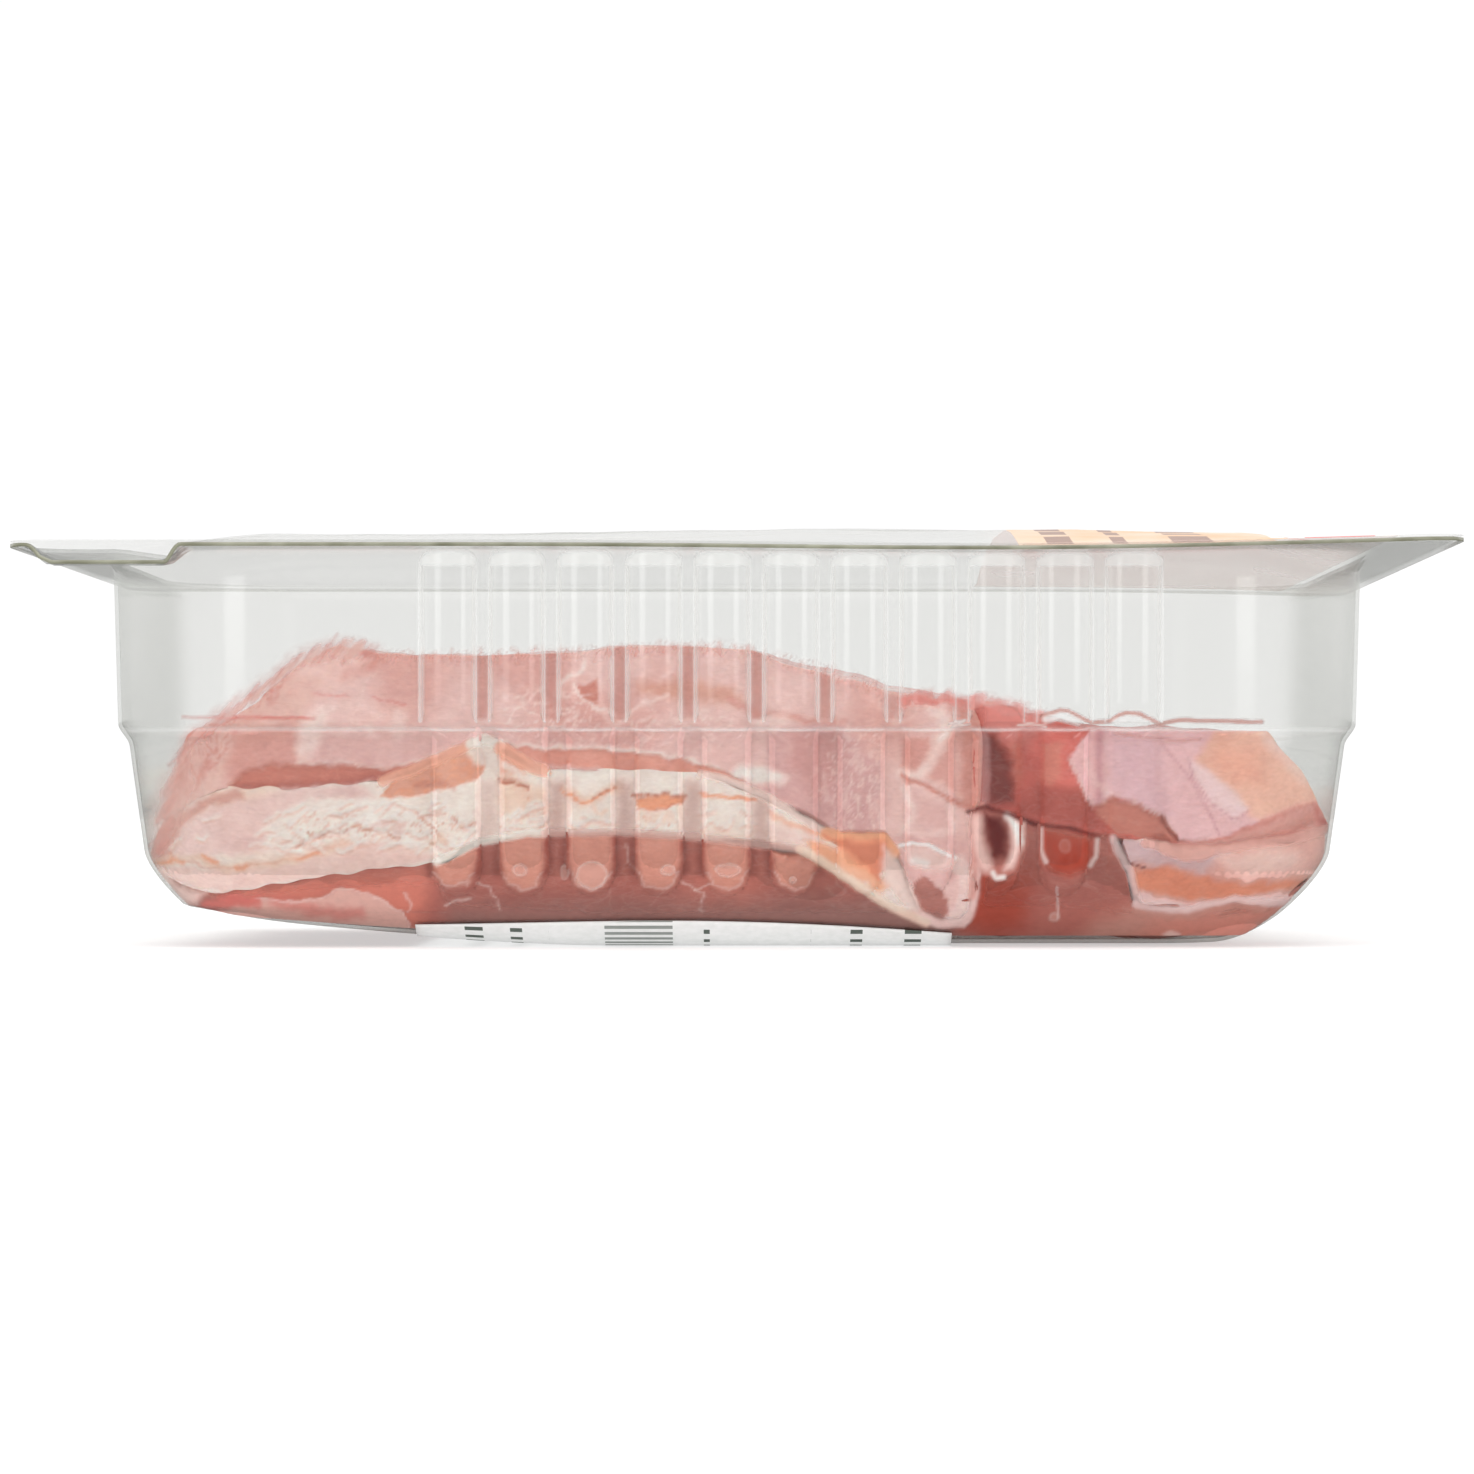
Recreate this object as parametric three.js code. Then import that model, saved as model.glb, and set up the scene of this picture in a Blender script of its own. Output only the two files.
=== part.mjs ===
// A pack of raw pork cutlets: a clear thermoformed tray with a ribbed front wall, a domed lidding
// film welded to its flange, a paper label under the base, and five cutlets pressed together inside.
// Millimetres. +X runs along the pack, -Y is the ribbed front, +Z is up.

import * as THREE from 'three';

// Driving dimensions: the tray. Its heights are measured from the underside of its base.
const LABEL_LIFT = 0.35;                 // the label under the base holds the tray this far up
const SHEET = 0.5;                       // thickness of the clear sheet
const FLANGE = { halfLength: 93.5, halfWidth: 68.5, corner: 6, under: 51.45, root: 2.6 };
const BODY = { halfLength: 83.2, halfWidth: 58.3, corner: 21, cornerAtBase: 10 };
const UPPER_WALL = { top: 49.15, bottom: 28.9, draft: 0.6 };
const LEDGE = { bottom: 26.6, inset: 2.15, bends: [[0.35, 0.3], [0.85, 0.6]] };
const LOWER_WALL = { bottom: 12.4, inset: 4.1 };
const FOOT = { inset: 19, wallPull: 3.5, wallLean: 0.13, basePull: 5.5 };   // curve from wall to base
const RIBS = { count: 11, left: -41.06, pitch: 8.88, depth: 1.6, halfWidth: 3.63, shift: 0, shoulder: 0.72 };
const LOW_RIBS = { halfWidth: 3.15, shift: 0.8, depth: 1.5, straightTo: 11, roundEnd: 4.6 };
const BASE_LIFT = { from: -18, rate: 0.01, power: 1.5, fadeHeight: 5 };
const PEEL = { depth: 2.3, from: -71, to: -73, back: -88, tip: -91, inner: -64, fade: 14 };
const RIM_WARP = { from: 40, twist: 0.9, sag: 0.45, sagAt: 30, sagSpread: 34 };

// Driving dimensions: the film, the label and the meat
const FILM = { gap: 0.25, thickness: 0.35, rise: 3.3, swell: 1.6, swellAt: 33, swellSpread: 42, power: 2.4,
  endSlope: 1.6, insets: [3, 10, 20, 34] };
const LABEL = { left: -42.5, right: 28.4, back: 26, gap: 0.1, thickness: 0.25, edgeInset: 11.7, bow: 0.0017,
  bowAt: -10 };
const MEAT = { wallClear: 1.05, footClear: 0.7, floorClear: 1.1, between: 0.75, farRound: 9, lowest: 2.6,
  leavesLedge: 29.4, meetsWall: 32, thinnest: 0.7, endDraw: 0.6 };
const BACK = { clear: 0.6, wave: 2, waveLength: 7 };
const SEAMS = { seenFrom: 20, inside: 26 };     // front seams turn into inside ones over this depth
const RELIEF = { height: 0.7, alongX: 8.5, alongY: 19, acrossY: 12.5 };
const GRID = { first: -79, step: 4.6, rows: [-46, -37, -27, -13, 3, 19, 34], wallRows: 4, spare: 0.8 };
// How the cut ends wander with depth
const DRIFT = { reach: 6, halfLength: 80, wave: 76, starts: -46, full: -20 };

const smooth = (t) => { const c = Math.min(Math.max(t, 0), 1); return c * c * (3 - 2 * c); };
const ramp = (v, from, to) => smooth((v - from) / (to - from));
const mix = (a, b, t) => a + (b - a) * t;
const bell = (v, at, spread) => Math.exp(-(((v - at) / spread) ** 2));

// A height that runs smoothly through a few [place, height] pairs
function heightThrough(pairs) {
  return (x) => {
    const last = pairs.length - 1;
    if (x <= pairs[0][0]) return pairs[0][1];
    if (x >= pairs[last][0]) return pairs[last][1];
    const k = pairs.findIndex((pair) => pair[0] > x) - 1;
    const [x0, z0] = pairs[k];
    const [x1, z1] = pairs[k + 1];
    return mix(z0, z1, smooth((x - x0) / (x1 - x0)) * 0.5 + ((x - x0) / (x1 - x0)) * 0.5);
  };
}

// Bisection on a function that rises from low to high
function solve(rising, target, low, high) {
  for (let step = 0; step < 24; step += 1) {
    const middle = (low + high) / 2;
    if (rising(middle) < target) low = middle; else high = middle;
  }
  return (low + high) / 2;
}

// ---- The tray's section: how far the wall stands in from the top outline, and how high

const footCurve = new THREE.CubicBezierCurve(
  new THREE.Vector2(LOWER_WALL.inset, LOWER_WALL.bottom),
  new THREE.Vector2(LOWER_WALL.inset + FOOT.wallLean * FOOT.wallPull, LOWER_WALL.bottom - FOOT.wallPull),
  new THREE.Vector2(FOOT.inset - FOOT.basePull, 0),
  new THREE.Vector2(FOOT.inset, 0),
);

function insetAtHeight(z) {
  if (z >= UPPER_WALL.bottom) {
    return UPPER_WALL.draft * ramp01(UPPER_WALL.top, UPPER_WALL.bottom, z);
  }
  if (z >= LEDGE.bottom) {
    return mix(UPPER_WALL.draft, LEDGE.inset, ramp01(UPPER_WALL.bottom, LEDGE.bottom, z));
  }
  if (z >= LOWER_WALL.bottom) {
    return mix(LEDGE.inset, LOWER_WALL.inset, ramp01(LEDGE.bottom, LOWER_WALL.bottom, z));
  }
  const t = solve((s) => -footCurve.getPoint(s).y, -z, 0, 1);
  return footCurve.getPoint(t).x;
}

function heightAtInset(inset) {
  if (inset >= FOOT.inset) return 0;
  if (inset >= LOWER_WALL.inset) {
    return footCurve.getPoint(solve((s) => footCurve.getPoint(s).x, inset, 0, 1)).y;
  }
  return mix(LEDGE.bottom, LOWER_WALL.bottom, ramp01(LEDGE.inset, LOWER_WALL.inset, inset));
}

function ramp01(from, to, v) {
  return Math.min(Math.max((v - from) / (to - from), 0), 1);
}

// The base's left part is bowed up off the surface
function baseLift(x, z) {
  const run = Math.max(BASE_LIFT.from - x, 0);
  return BASE_LIFT.rate * run ** BASE_LIFT.power * Math.max(1 - z / BASE_LIFT.fadeHeight, 0);
}

function beforeLift(x, z) {
  const lift = baseLift(x, 0);
  return z >= BASE_LIFT.fadeHeight ? z : Math.max((z - lift) / (1 - lift / BASE_LIFT.fadeHeight), 0);
}

// ---- The tray's outline: one list of places that every ring of the tray follows

const straightX = BODY.halfLength - BODY.corner;
const straightY = BODY.halfWidth - BODY.corner;
const degrees = (list) => list.map((angle) => (angle * Math.PI) / 180);
const plainCorner = degrees([0, 20, 39, 42, 45, 48, 51, 70, 90]);
const peelCorner = degrees([0, 15.8, 19.2, 28, 39.7, 42.8, 45, 51, 70, 90]);

// Front wall: two places left of the ribs, then five across each rib
function frontPlaces() {
  const places = [{ x: -straightX * 0.93, sideY: -1 }, { x: -straightX * 0.8, sideY: -1 }];
  for (let k = 0; k < RIBS.count; k += 1) {
    const centre = RIBS.left + RIBS.halfWidth + k * RIBS.pitch;
    [-1, -RIBS.shoulder, 0, RIBS.shoulder, 1].forEach((across) => {
      places.push({ x: centre + across * RIBS.halfWidth, sideY: -1, centre, across });
    });
  }
  return places;
}

function outlinePlaces() {
  const places = frontPlaces();
  const evenly = (half, count) => Array.from({ length: count },
    (_, k) => half * (2 * (k + 1) / (count + 1) - 1));
  plainCorner.forEach((angle) => places.push({ angle, sideX: 1, sideY: -1 }));
  evenly(straightY, 3).forEach((y) => places.push({ y, sideX: 1 }));
  [...plainCorner].reverse().forEach((angle) => places.push({ angle, sideX: 1, sideY: 1 }));
  evenly(straightX, 6).reverse().forEach((x) => places.push({ x, sideY: 1 }));
  plainCorner.forEach((angle) => places.push({ angle, sideX: -1, sideY: 1 }));
  evenly(straightY, 3).reverse().forEach((y) => places.push({ y, sideX: -1 }));
  [...peelCorner].reverse().forEach((angle) => places.push({ angle, sideX: -1, sideY: -1 }));
  return places;
}

const cornerRadius = (inset) => Math.max(BODY.corner - inset, BODY.cornerAtBase);

// A point of the body's outline, set in from the top outline
function bodyPoint(place, inset) {
  const radius = cornerRadius(inset);
  const centreX = BODY.halfLength - inset - radius;
  const centreY = BODY.halfWidth - inset - radius;
  if (place.angle !== undefined) {
    return new THREE.Vector2(place.sideX * (centreX + radius * Math.sin(place.angle)),
      place.sideY * (centreY + radius * Math.cos(place.angle)));
  }
  if (place.x !== undefined) {
    return new THREE.Vector2(place.x * (centreX / straightX), place.sideY * (BODY.halfWidth - inset));
  }
  return new THREE.Vector2(place.sideX * (BODY.halfLength - inset), place.y * (centreY / straightY));
}

// The same place on the flange's cut edge, straight out from the body's corner centres
function flangePoint(place) {
  const reachX = FLANGE.halfLength - straightX;
  const reachY = FLANGE.halfWidth - straightY;
  if (place.x !== undefined) return new THREE.Vector2(place.x, place.sideY * FLANGE.halfWidth);
  if (place.y !== undefined) return new THREE.Vector2(place.sideX * FLANGE.halfLength, place.y);
  const dirX = Math.sin(place.angle);
  const dirY = Math.cos(place.angle);
  const arcX = reachX - FLANGE.corner;
  const arcY = reachY - FLANGE.corner;
  let reach = Math.min(reachX / Math.max(dirX, 1e-6), reachY / Math.max(dirY, 1e-6));
  if (dirX * reach > arcX && dirY * reach > arcY) {
    const along = dirX * arcX + dirY * arcY;
    reach = along + Math.sqrt(along * along - arcX * arcX - arcY * arcY + FLANGE.corner ** 2);
  }
  return new THREE.Vector2(place.sideX * (straightX + dirX * reach),
    place.sideY * (straightY + dirY * reach));
}

// The rim isn't quite flat: its right end is twisted and the front edge sags a little
function rimWarp(x, y) {
  const end = Math.max(x - RIM_WARP.from, 0) / (FLANGE.halfLength - RIM_WARP.from);
  const front = Math.max(-y / FLANGE.halfWidth, 0);
  return RIM_WARP.twist * end * end * (-y / FLANGE.halfWidth)
    - RIM_WARP.sag * front * bell(x, RIM_WARP.sagAt, RIM_WARP.sagSpread);
}

// The front left corner of the flange is pressed down, so that a finger gets under the film
function peelDrop(x, y) {
  const alongFront = ramp(x, PEEL.from, PEEL.to) * (1 - ramp(x, PEEL.back, PEEL.tip));
  return PEEL.depth * alongFront * (1 - ramp(y, PEEL.inner, PEEL.inner + PEEL.fade));
}

// A place on a rib, moved out by the rib's bulge. Below the ledge the ribs are narrower, a little to
// the right, and end in a round foot.
function onRib(place, point, inset, z) {
  const low = z < (UPPER_WALL.bottom + LEDGE.bottom) / 2;
  const rib = low ? LOW_RIBS : RIBS;
  const down = low ? Math.max(LOW_RIBS.straightTo - z, 0) / LOW_RIBS.roundEnd : 0;
  const round = Math.sqrt(Math.max(1 - place.across ** 2 - down * down, 0));
  const bulge = Math.max(rib.depth * round + Math.min(inset, 0), 0);
  const x = place.centre + rib.shift + place.across * rib.halfWidth;
  return new THREE.Vector2(x * (point.x / place.x), point.y - bulge);
}

// ---- The tray: rings from the middle of the base, up the outside, over the rim and down the inside

function wallStations() {
  const stations = [];
  const radius = FLANGE.under - UPPER_WALL.top;
  [0, 0.35, 0.7, 1].forEach((share) => {
    const turn = (share * Math.PI) / 2;
    stations.push({ inset: -FLANGE.root + radius * Math.sin(turn) + (FLANGE.root - radius) * share,
      z: FLANGE.under - radius * (1 - Math.cos(turn)) });
  });
  stations.push({ inset: UPPER_WALL.draft, z: UPPER_WALL.bottom });
  LEDGE.bends.forEach(([inwards, down]) => {
    stations.push({ inset: mix(UPPER_WALL.draft, LEDGE.inset, inwards),
      z: mix(UPPER_WALL.bottom, LEDGE.bottom, down) });
  });
  stations.push({ inset: LEDGE.inset, z: LEDGE.bottom });
  [0, 0.22, 0.42, 0.6, 0.8, 1].forEach((t) => {
    const point = footCurve.getPoint(t);
    stations.push({ inset: point.x, z: point.y });
  });
  return stations;
}

function traySkin(places) {
  const rings = [];
  const rim = places.map((place) => flangePoint(place));
  const root = places.map((place) => bodyPoint(place, -FLANGE.root));
  [0, 0.5].forEach((share) => {
    rings.push(rim.map((edge, i) => {
      const x = mix(edge.x, root[i].x, share);
      const y = mix(edge.y, root[i].y, share);
      return new THREE.Vector3(x, y, FLANGE.under + rimWarp(x, y) - peelDrop(x, y));
    }));
  });
  wallStations().forEach(({ inset, z }) => {
    const rimShare = ramp01(UPPER_WALL.top, FLANGE.under, z);
    rings.push(places.map((place) => {
      const wall = bodyPoint(place, inset);
      const point = place.across === undefined ? wall : onRib(place, wall, inset, z);
      const warp = rimWarp(point.x, point.y) - peelDrop(point.x, point.y);
      return new THREE.Vector3(point.x, point.y, z + baseLift(point.x, z) + rimShare * warp);
    }));
  });
  const foot = places.map((place) => bodyPoint(place, FOOT.inset));
  rings.push(foot.map(({ x, y }) => new THREE.Vector3(x * 0.5, y * 0.5, baseLift(x * 0.5, 0))));
  return rings;
}

// The same skin moved inwards by the sheet's thickness
function innerSkin(rings) {
  return rings.map((ring, j) => ring.map((point, i) => {
    if (j < 2) return point.clone().add(new THREE.Vector3(0, 0, SHEET));
    const around = ring[(i + 1) % ring.length].clone().sub(ring[(i + ring.length - 1) % ring.length]);
    const down = (rings[j + 1] || rings[j])[i].clone().sub(rings[j - 1][i]);
    const normal = around.cross(down).normalize();
    return point.clone().addScaledVector(normal, SHEET);
  }));
}

// ---- Closed solids from rings

function closedBody(rings, startCap, endCap) {
  const count = rings[0].length;
  const positions = [];
  const add = (a, b, c) => positions.push(a.x, a.y, a.z, b.x, b.y, b.z, c.x, c.y, c.z);
  for (let i = 0; i < count; i += 1) {
    const next = (i + 1) % count;
    for (let j = 0; j + 1 < rings.length; j += 1) {
      add(rings[j][i], rings[j][next], rings[j + 1][next]);
      add(rings[j][i], rings[j + 1][next], rings[j + 1][i]);
    }
  }
  startCap(rings[0]).forEach(([a, b, c]) => add(a, c, b));
  endCap(rings[rings.length - 1]).forEach(([a, b, c]) => add(a, b, c));
  return facingOut(positions);
}

// Closes a ring with a fan from a point in its middle
const fanCap = (pole) => (ring) => ring.map((point, i) => [pole, point, ring[(i + 1) % ring.length]]);

// Closes a cutlet's end like a ladder, from its upper side to its lower side
function ladderCap(ring) {
  const corner = GRID.wallRows;
  const rows = GRID.rows.length;
  const last = ring.length - 1;
  const triangles = [];
  for (let k = 1; k < corner; k += 1) triangles.push([0, k, k + 1]);
  triangles.push([0, corner, last]);
  for (let k = 0; k + 1 < rows; k += 1) {
    triangles.push([corner + k, corner + k + 1, last - k - 1], [corner + k, last - k - 1, last - k]);
  }
  triangles.push([corner + rows - 1, corner + rows, corner + rows + 1]);
  return triangles.map((triangle) => triangle.map((k) => ring[k]));
}

// A thin curved panel: a grid of top points and the same grid of bottom points, with a rim between
function closedSheet(top, bottom) {
  const positions = [];
  const add = (a, b, c) => positions.push(a.x, a.y, a.z, b.x, b.y, b.z, c.x, c.y, c.z);
  const quad = (a, b, c, d) => { add(a, b, c); add(a, c, d); };
  const rows = top.length - 1;
  const columns = top[0].length - 1;
  for (let j = 0; j < rows; j += 1) {
    for (let i = 0; i < columns; i += 1) {
      quad(top[j][i], top[j][i + 1], top[j + 1][i + 1], top[j + 1][i]);
      quad(bottom[j][i], bottom[j + 1][i], bottom[j + 1][i + 1], bottom[j][i + 1]);
    }
    quad(top[j][0], top[j + 1][0], bottom[j + 1][0], bottom[j][0]);
    quad(top[j + 1][columns], top[j][columns], bottom[j][columns], bottom[j + 1][columns]);
  }
  for (let i = 0; i < columns; i += 1) {
    quad(top[0][i + 1], top[0][i], bottom[0][i], bottom[0][i + 1]);
    quad(top[rows][i], top[rows][i + 1], bottom[rows][i + 1], bottom[rows][i]);
  }
  return facingOut(positions);
}

// Faces the triangles outwards, told by the sign of the volume that they enclose
function facingOut(positions) {
  let volume = 0;
  const a = new THREE.Vector3();
  const b = new THREE.Vector3();
  const c = new THREE.Vector3();
  for (let k = 0; k < positions.length; k += 9) {
    a.fromArray(positions, k);
    b.fromArray(positions, k + 3);
    c.fromArray(positions, k + 6);
    volume += a.dot(b.cross(c));
  }
  if (volume < 0) {
    for (let k = 0; k < positions.length; k += 9) {
      const swap = positions.slice(k + 3, k + 6);
      positions.splice(k + 3, 3, ...positions.slice(k + 6, k + 9));
      positions.splice(k + 6, 3, ...swap);
    }
  }
  const geometry = new THREE.BufferGeometry();
  geometry.setAttribute('position', new THREE.Float32BufferAttribute(positions, 3));
  geometry.computeVertexNormals();
  return geometry;
}

function namedMesh(name, geometry, material) {
  const mesh = new THREE.Mesh(geometry, material);
  mesh.name = name;
  return mesh;
}

// ---- The pieces

function trayGeometry() {
  const outside = traySkin(outlinePlaces());
  const inside = innerSkin(outside);
  const rings = [...[...outside].reverse(), ...inside];
  return closedBody(rings, fanCap(new THREE.Vector3(0, 0, 0)), fanCap(new THREE.Vector3(0, 0, SHEET)));
}

function filmGeometry() {
  const places = outlinePlaces().filter((place) => !(place.sideY === -1 && place.x !== undefined));
  for (let k = 1; k < 12; k += 1) places.splice(k - 1, 0, { x: straightX * (k / 6 - 1), sideY: -1 });
  const rim = places.map((place) => flangePoint(place));
  const insets = [-FLANGE.root, ...FILM.insets];
  const plan = [rim, ...insets.map((inset) => places.map((place) => filmPoint(place, inset)))];
  const levels = plan.map((ring) => ring.map((at) => new THREE.Vector3(at.x, at.y, filmHeight(at))));
  const lower = [...levels].reverse();
  const up = new THREE.Vector3(0, 0, FILM.thickness);
  const upper = levels.map((ring) => ring.map((at) => at.clone().add(up)));
  const middle = new THREE.Vector3(0, 0, filmHeight(new THREE.Vector2(0, 0)));
  const crown = middle.clone().add(up);
  return closedBody([...lower, ...upper], fanCap(middle), fanCap(crown));
}

// Inner rings of the film shrink towards a line along the middle
function filmPoint(place, inset) {
  if (inset < BODY.corner - BODY.cornerAtBase) return bodyPoint(place, inset);
  const edge = bodyPoint(place, 0);
  const scaleX = (BODY.halfLength - inset) / BODY.halfLength;
  const scaleY = (BODY.halfWidth - inset) / BODY.halfWidth;
  return new THREE.Vector2(edge.x * scaleX, edge.y * scaleY);
}

function filmHeight(point) {
  const insetX = BODY.halfLength - Math.abs(point.x);
  const insetY = BODY.halfWidth - Math.abs(point.y);
  const share = (inset) => 1 - (1 - Math.min(Math.max(inset / BODY.halfWidth, 0), 1)) ** FILM.power;
  const rise = FILM.rise + FILM.swell * bell(point.x, FILM.swellAt, FILM.swellSpread);
  const flat = FLANGE.under + SHEET + FILM.gap + rimWarp(point.x, point.y);
  return flat + rise * share(insetY) * Math.min(1, share(insetX) * FILM.endSlope);
}

// Underside of the base along one line of the label: y, z and the direction square to it
function underBase(x, inset) {
  const z = heightAtInset(inset);
  const step = 0.2;
  const slope = (heightAtInset(inset + step) - z) / step;
  const length = Math.hypot(slope, 1);
  return { y: -(BODY.halfWidth - inset), z: z + baseLift(x, z), outY: slope / length, outZ: -1 / length };
}

function labelGeometry() {
  const columns = 12;
  const rowShares = [0, 0.25, 0.5, 0.75, 1];
  const layer = (depth) => {
    const rows = rowShares.map((share) => Array.from({ length: columns + 1 }, (_, i) => {
      const x = mix(LABEL.left, LABEL.right, i / columns);
      const edge = LABEL.edgeInset + LABEL.bow * (x - LABEL.bowAt) ** 2;
      const at = underBase(x, mix(edge, FOOT.inset, share));
      return new THREE.Vector3(x, at.y + at.outY * depth, at.z + at.outZ * depth);
    }));
    rows.push(rows[0].map((point) => new THREE.Vector3(point.x, LABEL.back, baseLift(point.x, 0) - depth)));
    return rows;
  };
  return closedSheet(layer(LABEL.gap), layer(LABEL.gap + LABEL.thickness));
}

// ---- The cutlets: what holds them is the inside of the tray

function insideOutline(x, y, inset) {
  const radius = cornerRadius(inset);
  const overX = Math.abs(x) - (BODY.halfLength - inset - radius);
  const overY = Math.abs(y) - (BODY.halfWidth - inset - radius);
  return Math.hypot(Math.max(overX, 0), Math.max(overY, 0)) <= radius;
}

// Half the width that the meat fills at this place along the pack and at this height. It bridges the
// hollow corner just above the ledge.
function roomY(x, z) {
  const bridge = LEDGE.inset * (1 - ramp01(MEAT.leavesLedge, MEAT.meetsWall, z));
  const inset = Math.max(insetAtHeight(beforeLift(x, z) - MEAT.footClear), bridge) + MEAT.wallClear;
  const radius = cornerRadius(inset);
  const over = Math.abs(x) - (BODY.halfLength - inset - radius);
  if (over <= 0) return BODY.halfWidth - inset;
  return BODY.halfWidth - inset - radius + Math.sqrt(Math.max(radius * radius - over * over, 0));
}

function floorHeight(x, y) {
  const low = -FLANGE.root;
  const clear = FOOT.inset + MEAT.wallClear;
  if (insideOutline(x, y, clear)) return baseLift(x, 0) + MEAT.floorClear;
  const deepest = solve((inset) => (insideOutline(x, y, inset) ? 0 : 1), 0.5, low, clear);
  const z = heightAtInset(deepest - MEAT.wallClear);
  return z + baseLift(x, z) + MEAT.floorClear;
}

// Layer boundaries seen on the front wall, and the same boundaries inside the pack
const baseTop = {
  aboveFloor: 0.8,
  front: heightThrough([[-76, 10.6], [-69, 7.2], [-39, 10.8], [-31, 14.2], [-3, 14.2], [12, 8.6], [27, 3.3],
    [34, 14.2], [49, 14], [56, 5.8], [70, 5.2], [76, 9.4]]),
  inside: heightThrough([[-76, 10.6], [-60, 11], [-20, 13.5], [20, 12], [48, 12.5], [60, 7.5], [70, 7],
    [76, 9.4]]),
};
const middleTop = {
  aboveFloor: 2.3,
  front: heightThrough([[-77, 16.5], [-72, 20], [-46, 22], [-34, 26.8], [-27, 23], [-5, 22.5], [5, 19],
    [16, 12.4], [27, 5.2]]),
  inside: heightThrough([[-77, 16.5], [-70, 20], [-40, 23.5], [-10, 23], [12, 19.4], [27, 14.4]]),
};
const rightMiddleTop = {
  aboveFloor: 2.3,
  front: heightThrough([[48, 16], [55, 17], [59, 13.6], [68, 15.2], [77, 19.4]]),
  inside: heightThrough([[48, 15.6], [60, 15], [77, 18]]),
};
const leftTop = {
  aboveFloor: 4,
  front: heightThrough([[-75, 23.5], [-71, 28.5], [-57, 38], [-52, 39.4], [-40, 38.2], [-10, 39.2], [2, 38.8],
    [20, 33.5], [33, 31.8]]),
  inside: heightThrough([[-75, 22], [-66, 31], [-50, 37.5], [-10, 39.8], [12, 37], [33, 32]]),
};
const rightTop = {
  aboveFloor: 4,
  front: heightThrough([[33, 32.2], [38, 30], [46, 28.2], [66, 27.9], [72, 25.8], [77.6, 20.8]]),
  inside: heightThrough([[33, 32], [50, 30.2], [64, 28.6], [77.6, 20.8]]),
};

function layerHeight(layer, x, y) {
  const front = -roomY(x, SEAMS.seenFrom);
  const depth = ramp(y, front, front + SEAMS.inside);
  const waves = RELIEF.height * Math.sin(x / RELIEF.alongX + y / RELIEF.alongY)
    * Math.cos(y / RELIEF.acrossY + 1);
  const height = mix(layer.front(x), layer.inside(x), depth) + waves * depth;
  return Math.max(height, floorHeight(drift(x, y), y) + layer.aboveFloor);
}

// What a cutlet lies on at a place: the layers under it and the tray's floor
function bedHeight(under, x, y) {
  const layers = under.map((layer) => layerHeight(layer, x, y) + MEAT.between);
  return Math.max(floorHeight(drift(x, y), y), ...layers);
}

const cutlets = [
  { name: 'cutlet_base', from: -75, to: 75.4, far: 51, top: baseTop, under: [], round: 3 },
  { name: 'cutlet_middle_left', from: -77, to: 27, far: 50, top: middleTop, under: [baseTop], round: 3 },
  { name: 'cutlet_top_left', from: -74.6, to: 32.2, far: 48, top: leftTop, under: [baseTop, middleTop],
    round: 1.8 },
  { name: 'cutlet_middle_right', from: 49.4, to: 77, far: 46, top: rightMiddleTop, under: [baseTop],
    round: 2.5 },
  { name: 'cutlet_top_right', from: 33.7, to: 77.6, far: 50, top: rightTop, under: [baseTop, rightMiddleTop],
    round: 1.8 },
];

// Cross-sections stand on lines that all the cutlets share, with two more where an end rounds off
function stationsAlong(piece) {
  const ends = [0.12, 0.5].map((share) => share * piece.round);
  const start = piece.from + piece.round;
  const finish = piece.to - piece.round;
  const stations = [];
  for (let x = GRID.first; x < finish; x += GRID.step) {
    if (x > start) stations.push(x);
  }
  return [...ends.map((end) => piece.from + end), start, ...stations, finish,
    ...ends.reverse().map((end) => piece.to - end)];
}

// Cut edges drift along the pack with depth, but not on the front wall or at the tray's ends
function drift(x, y) {
  const fade = Math.max(1 - (x / DRIFT.halfLength) ** 2, 0);
  return x + DRIFT.reach * fade * Math.sin((Math.PI * Math.max(y + BODY.halfWidth, 0)) / DRIFT.wave)
    * ramp(y, DRIFT.starts, DRIFT.full);
}

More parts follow.
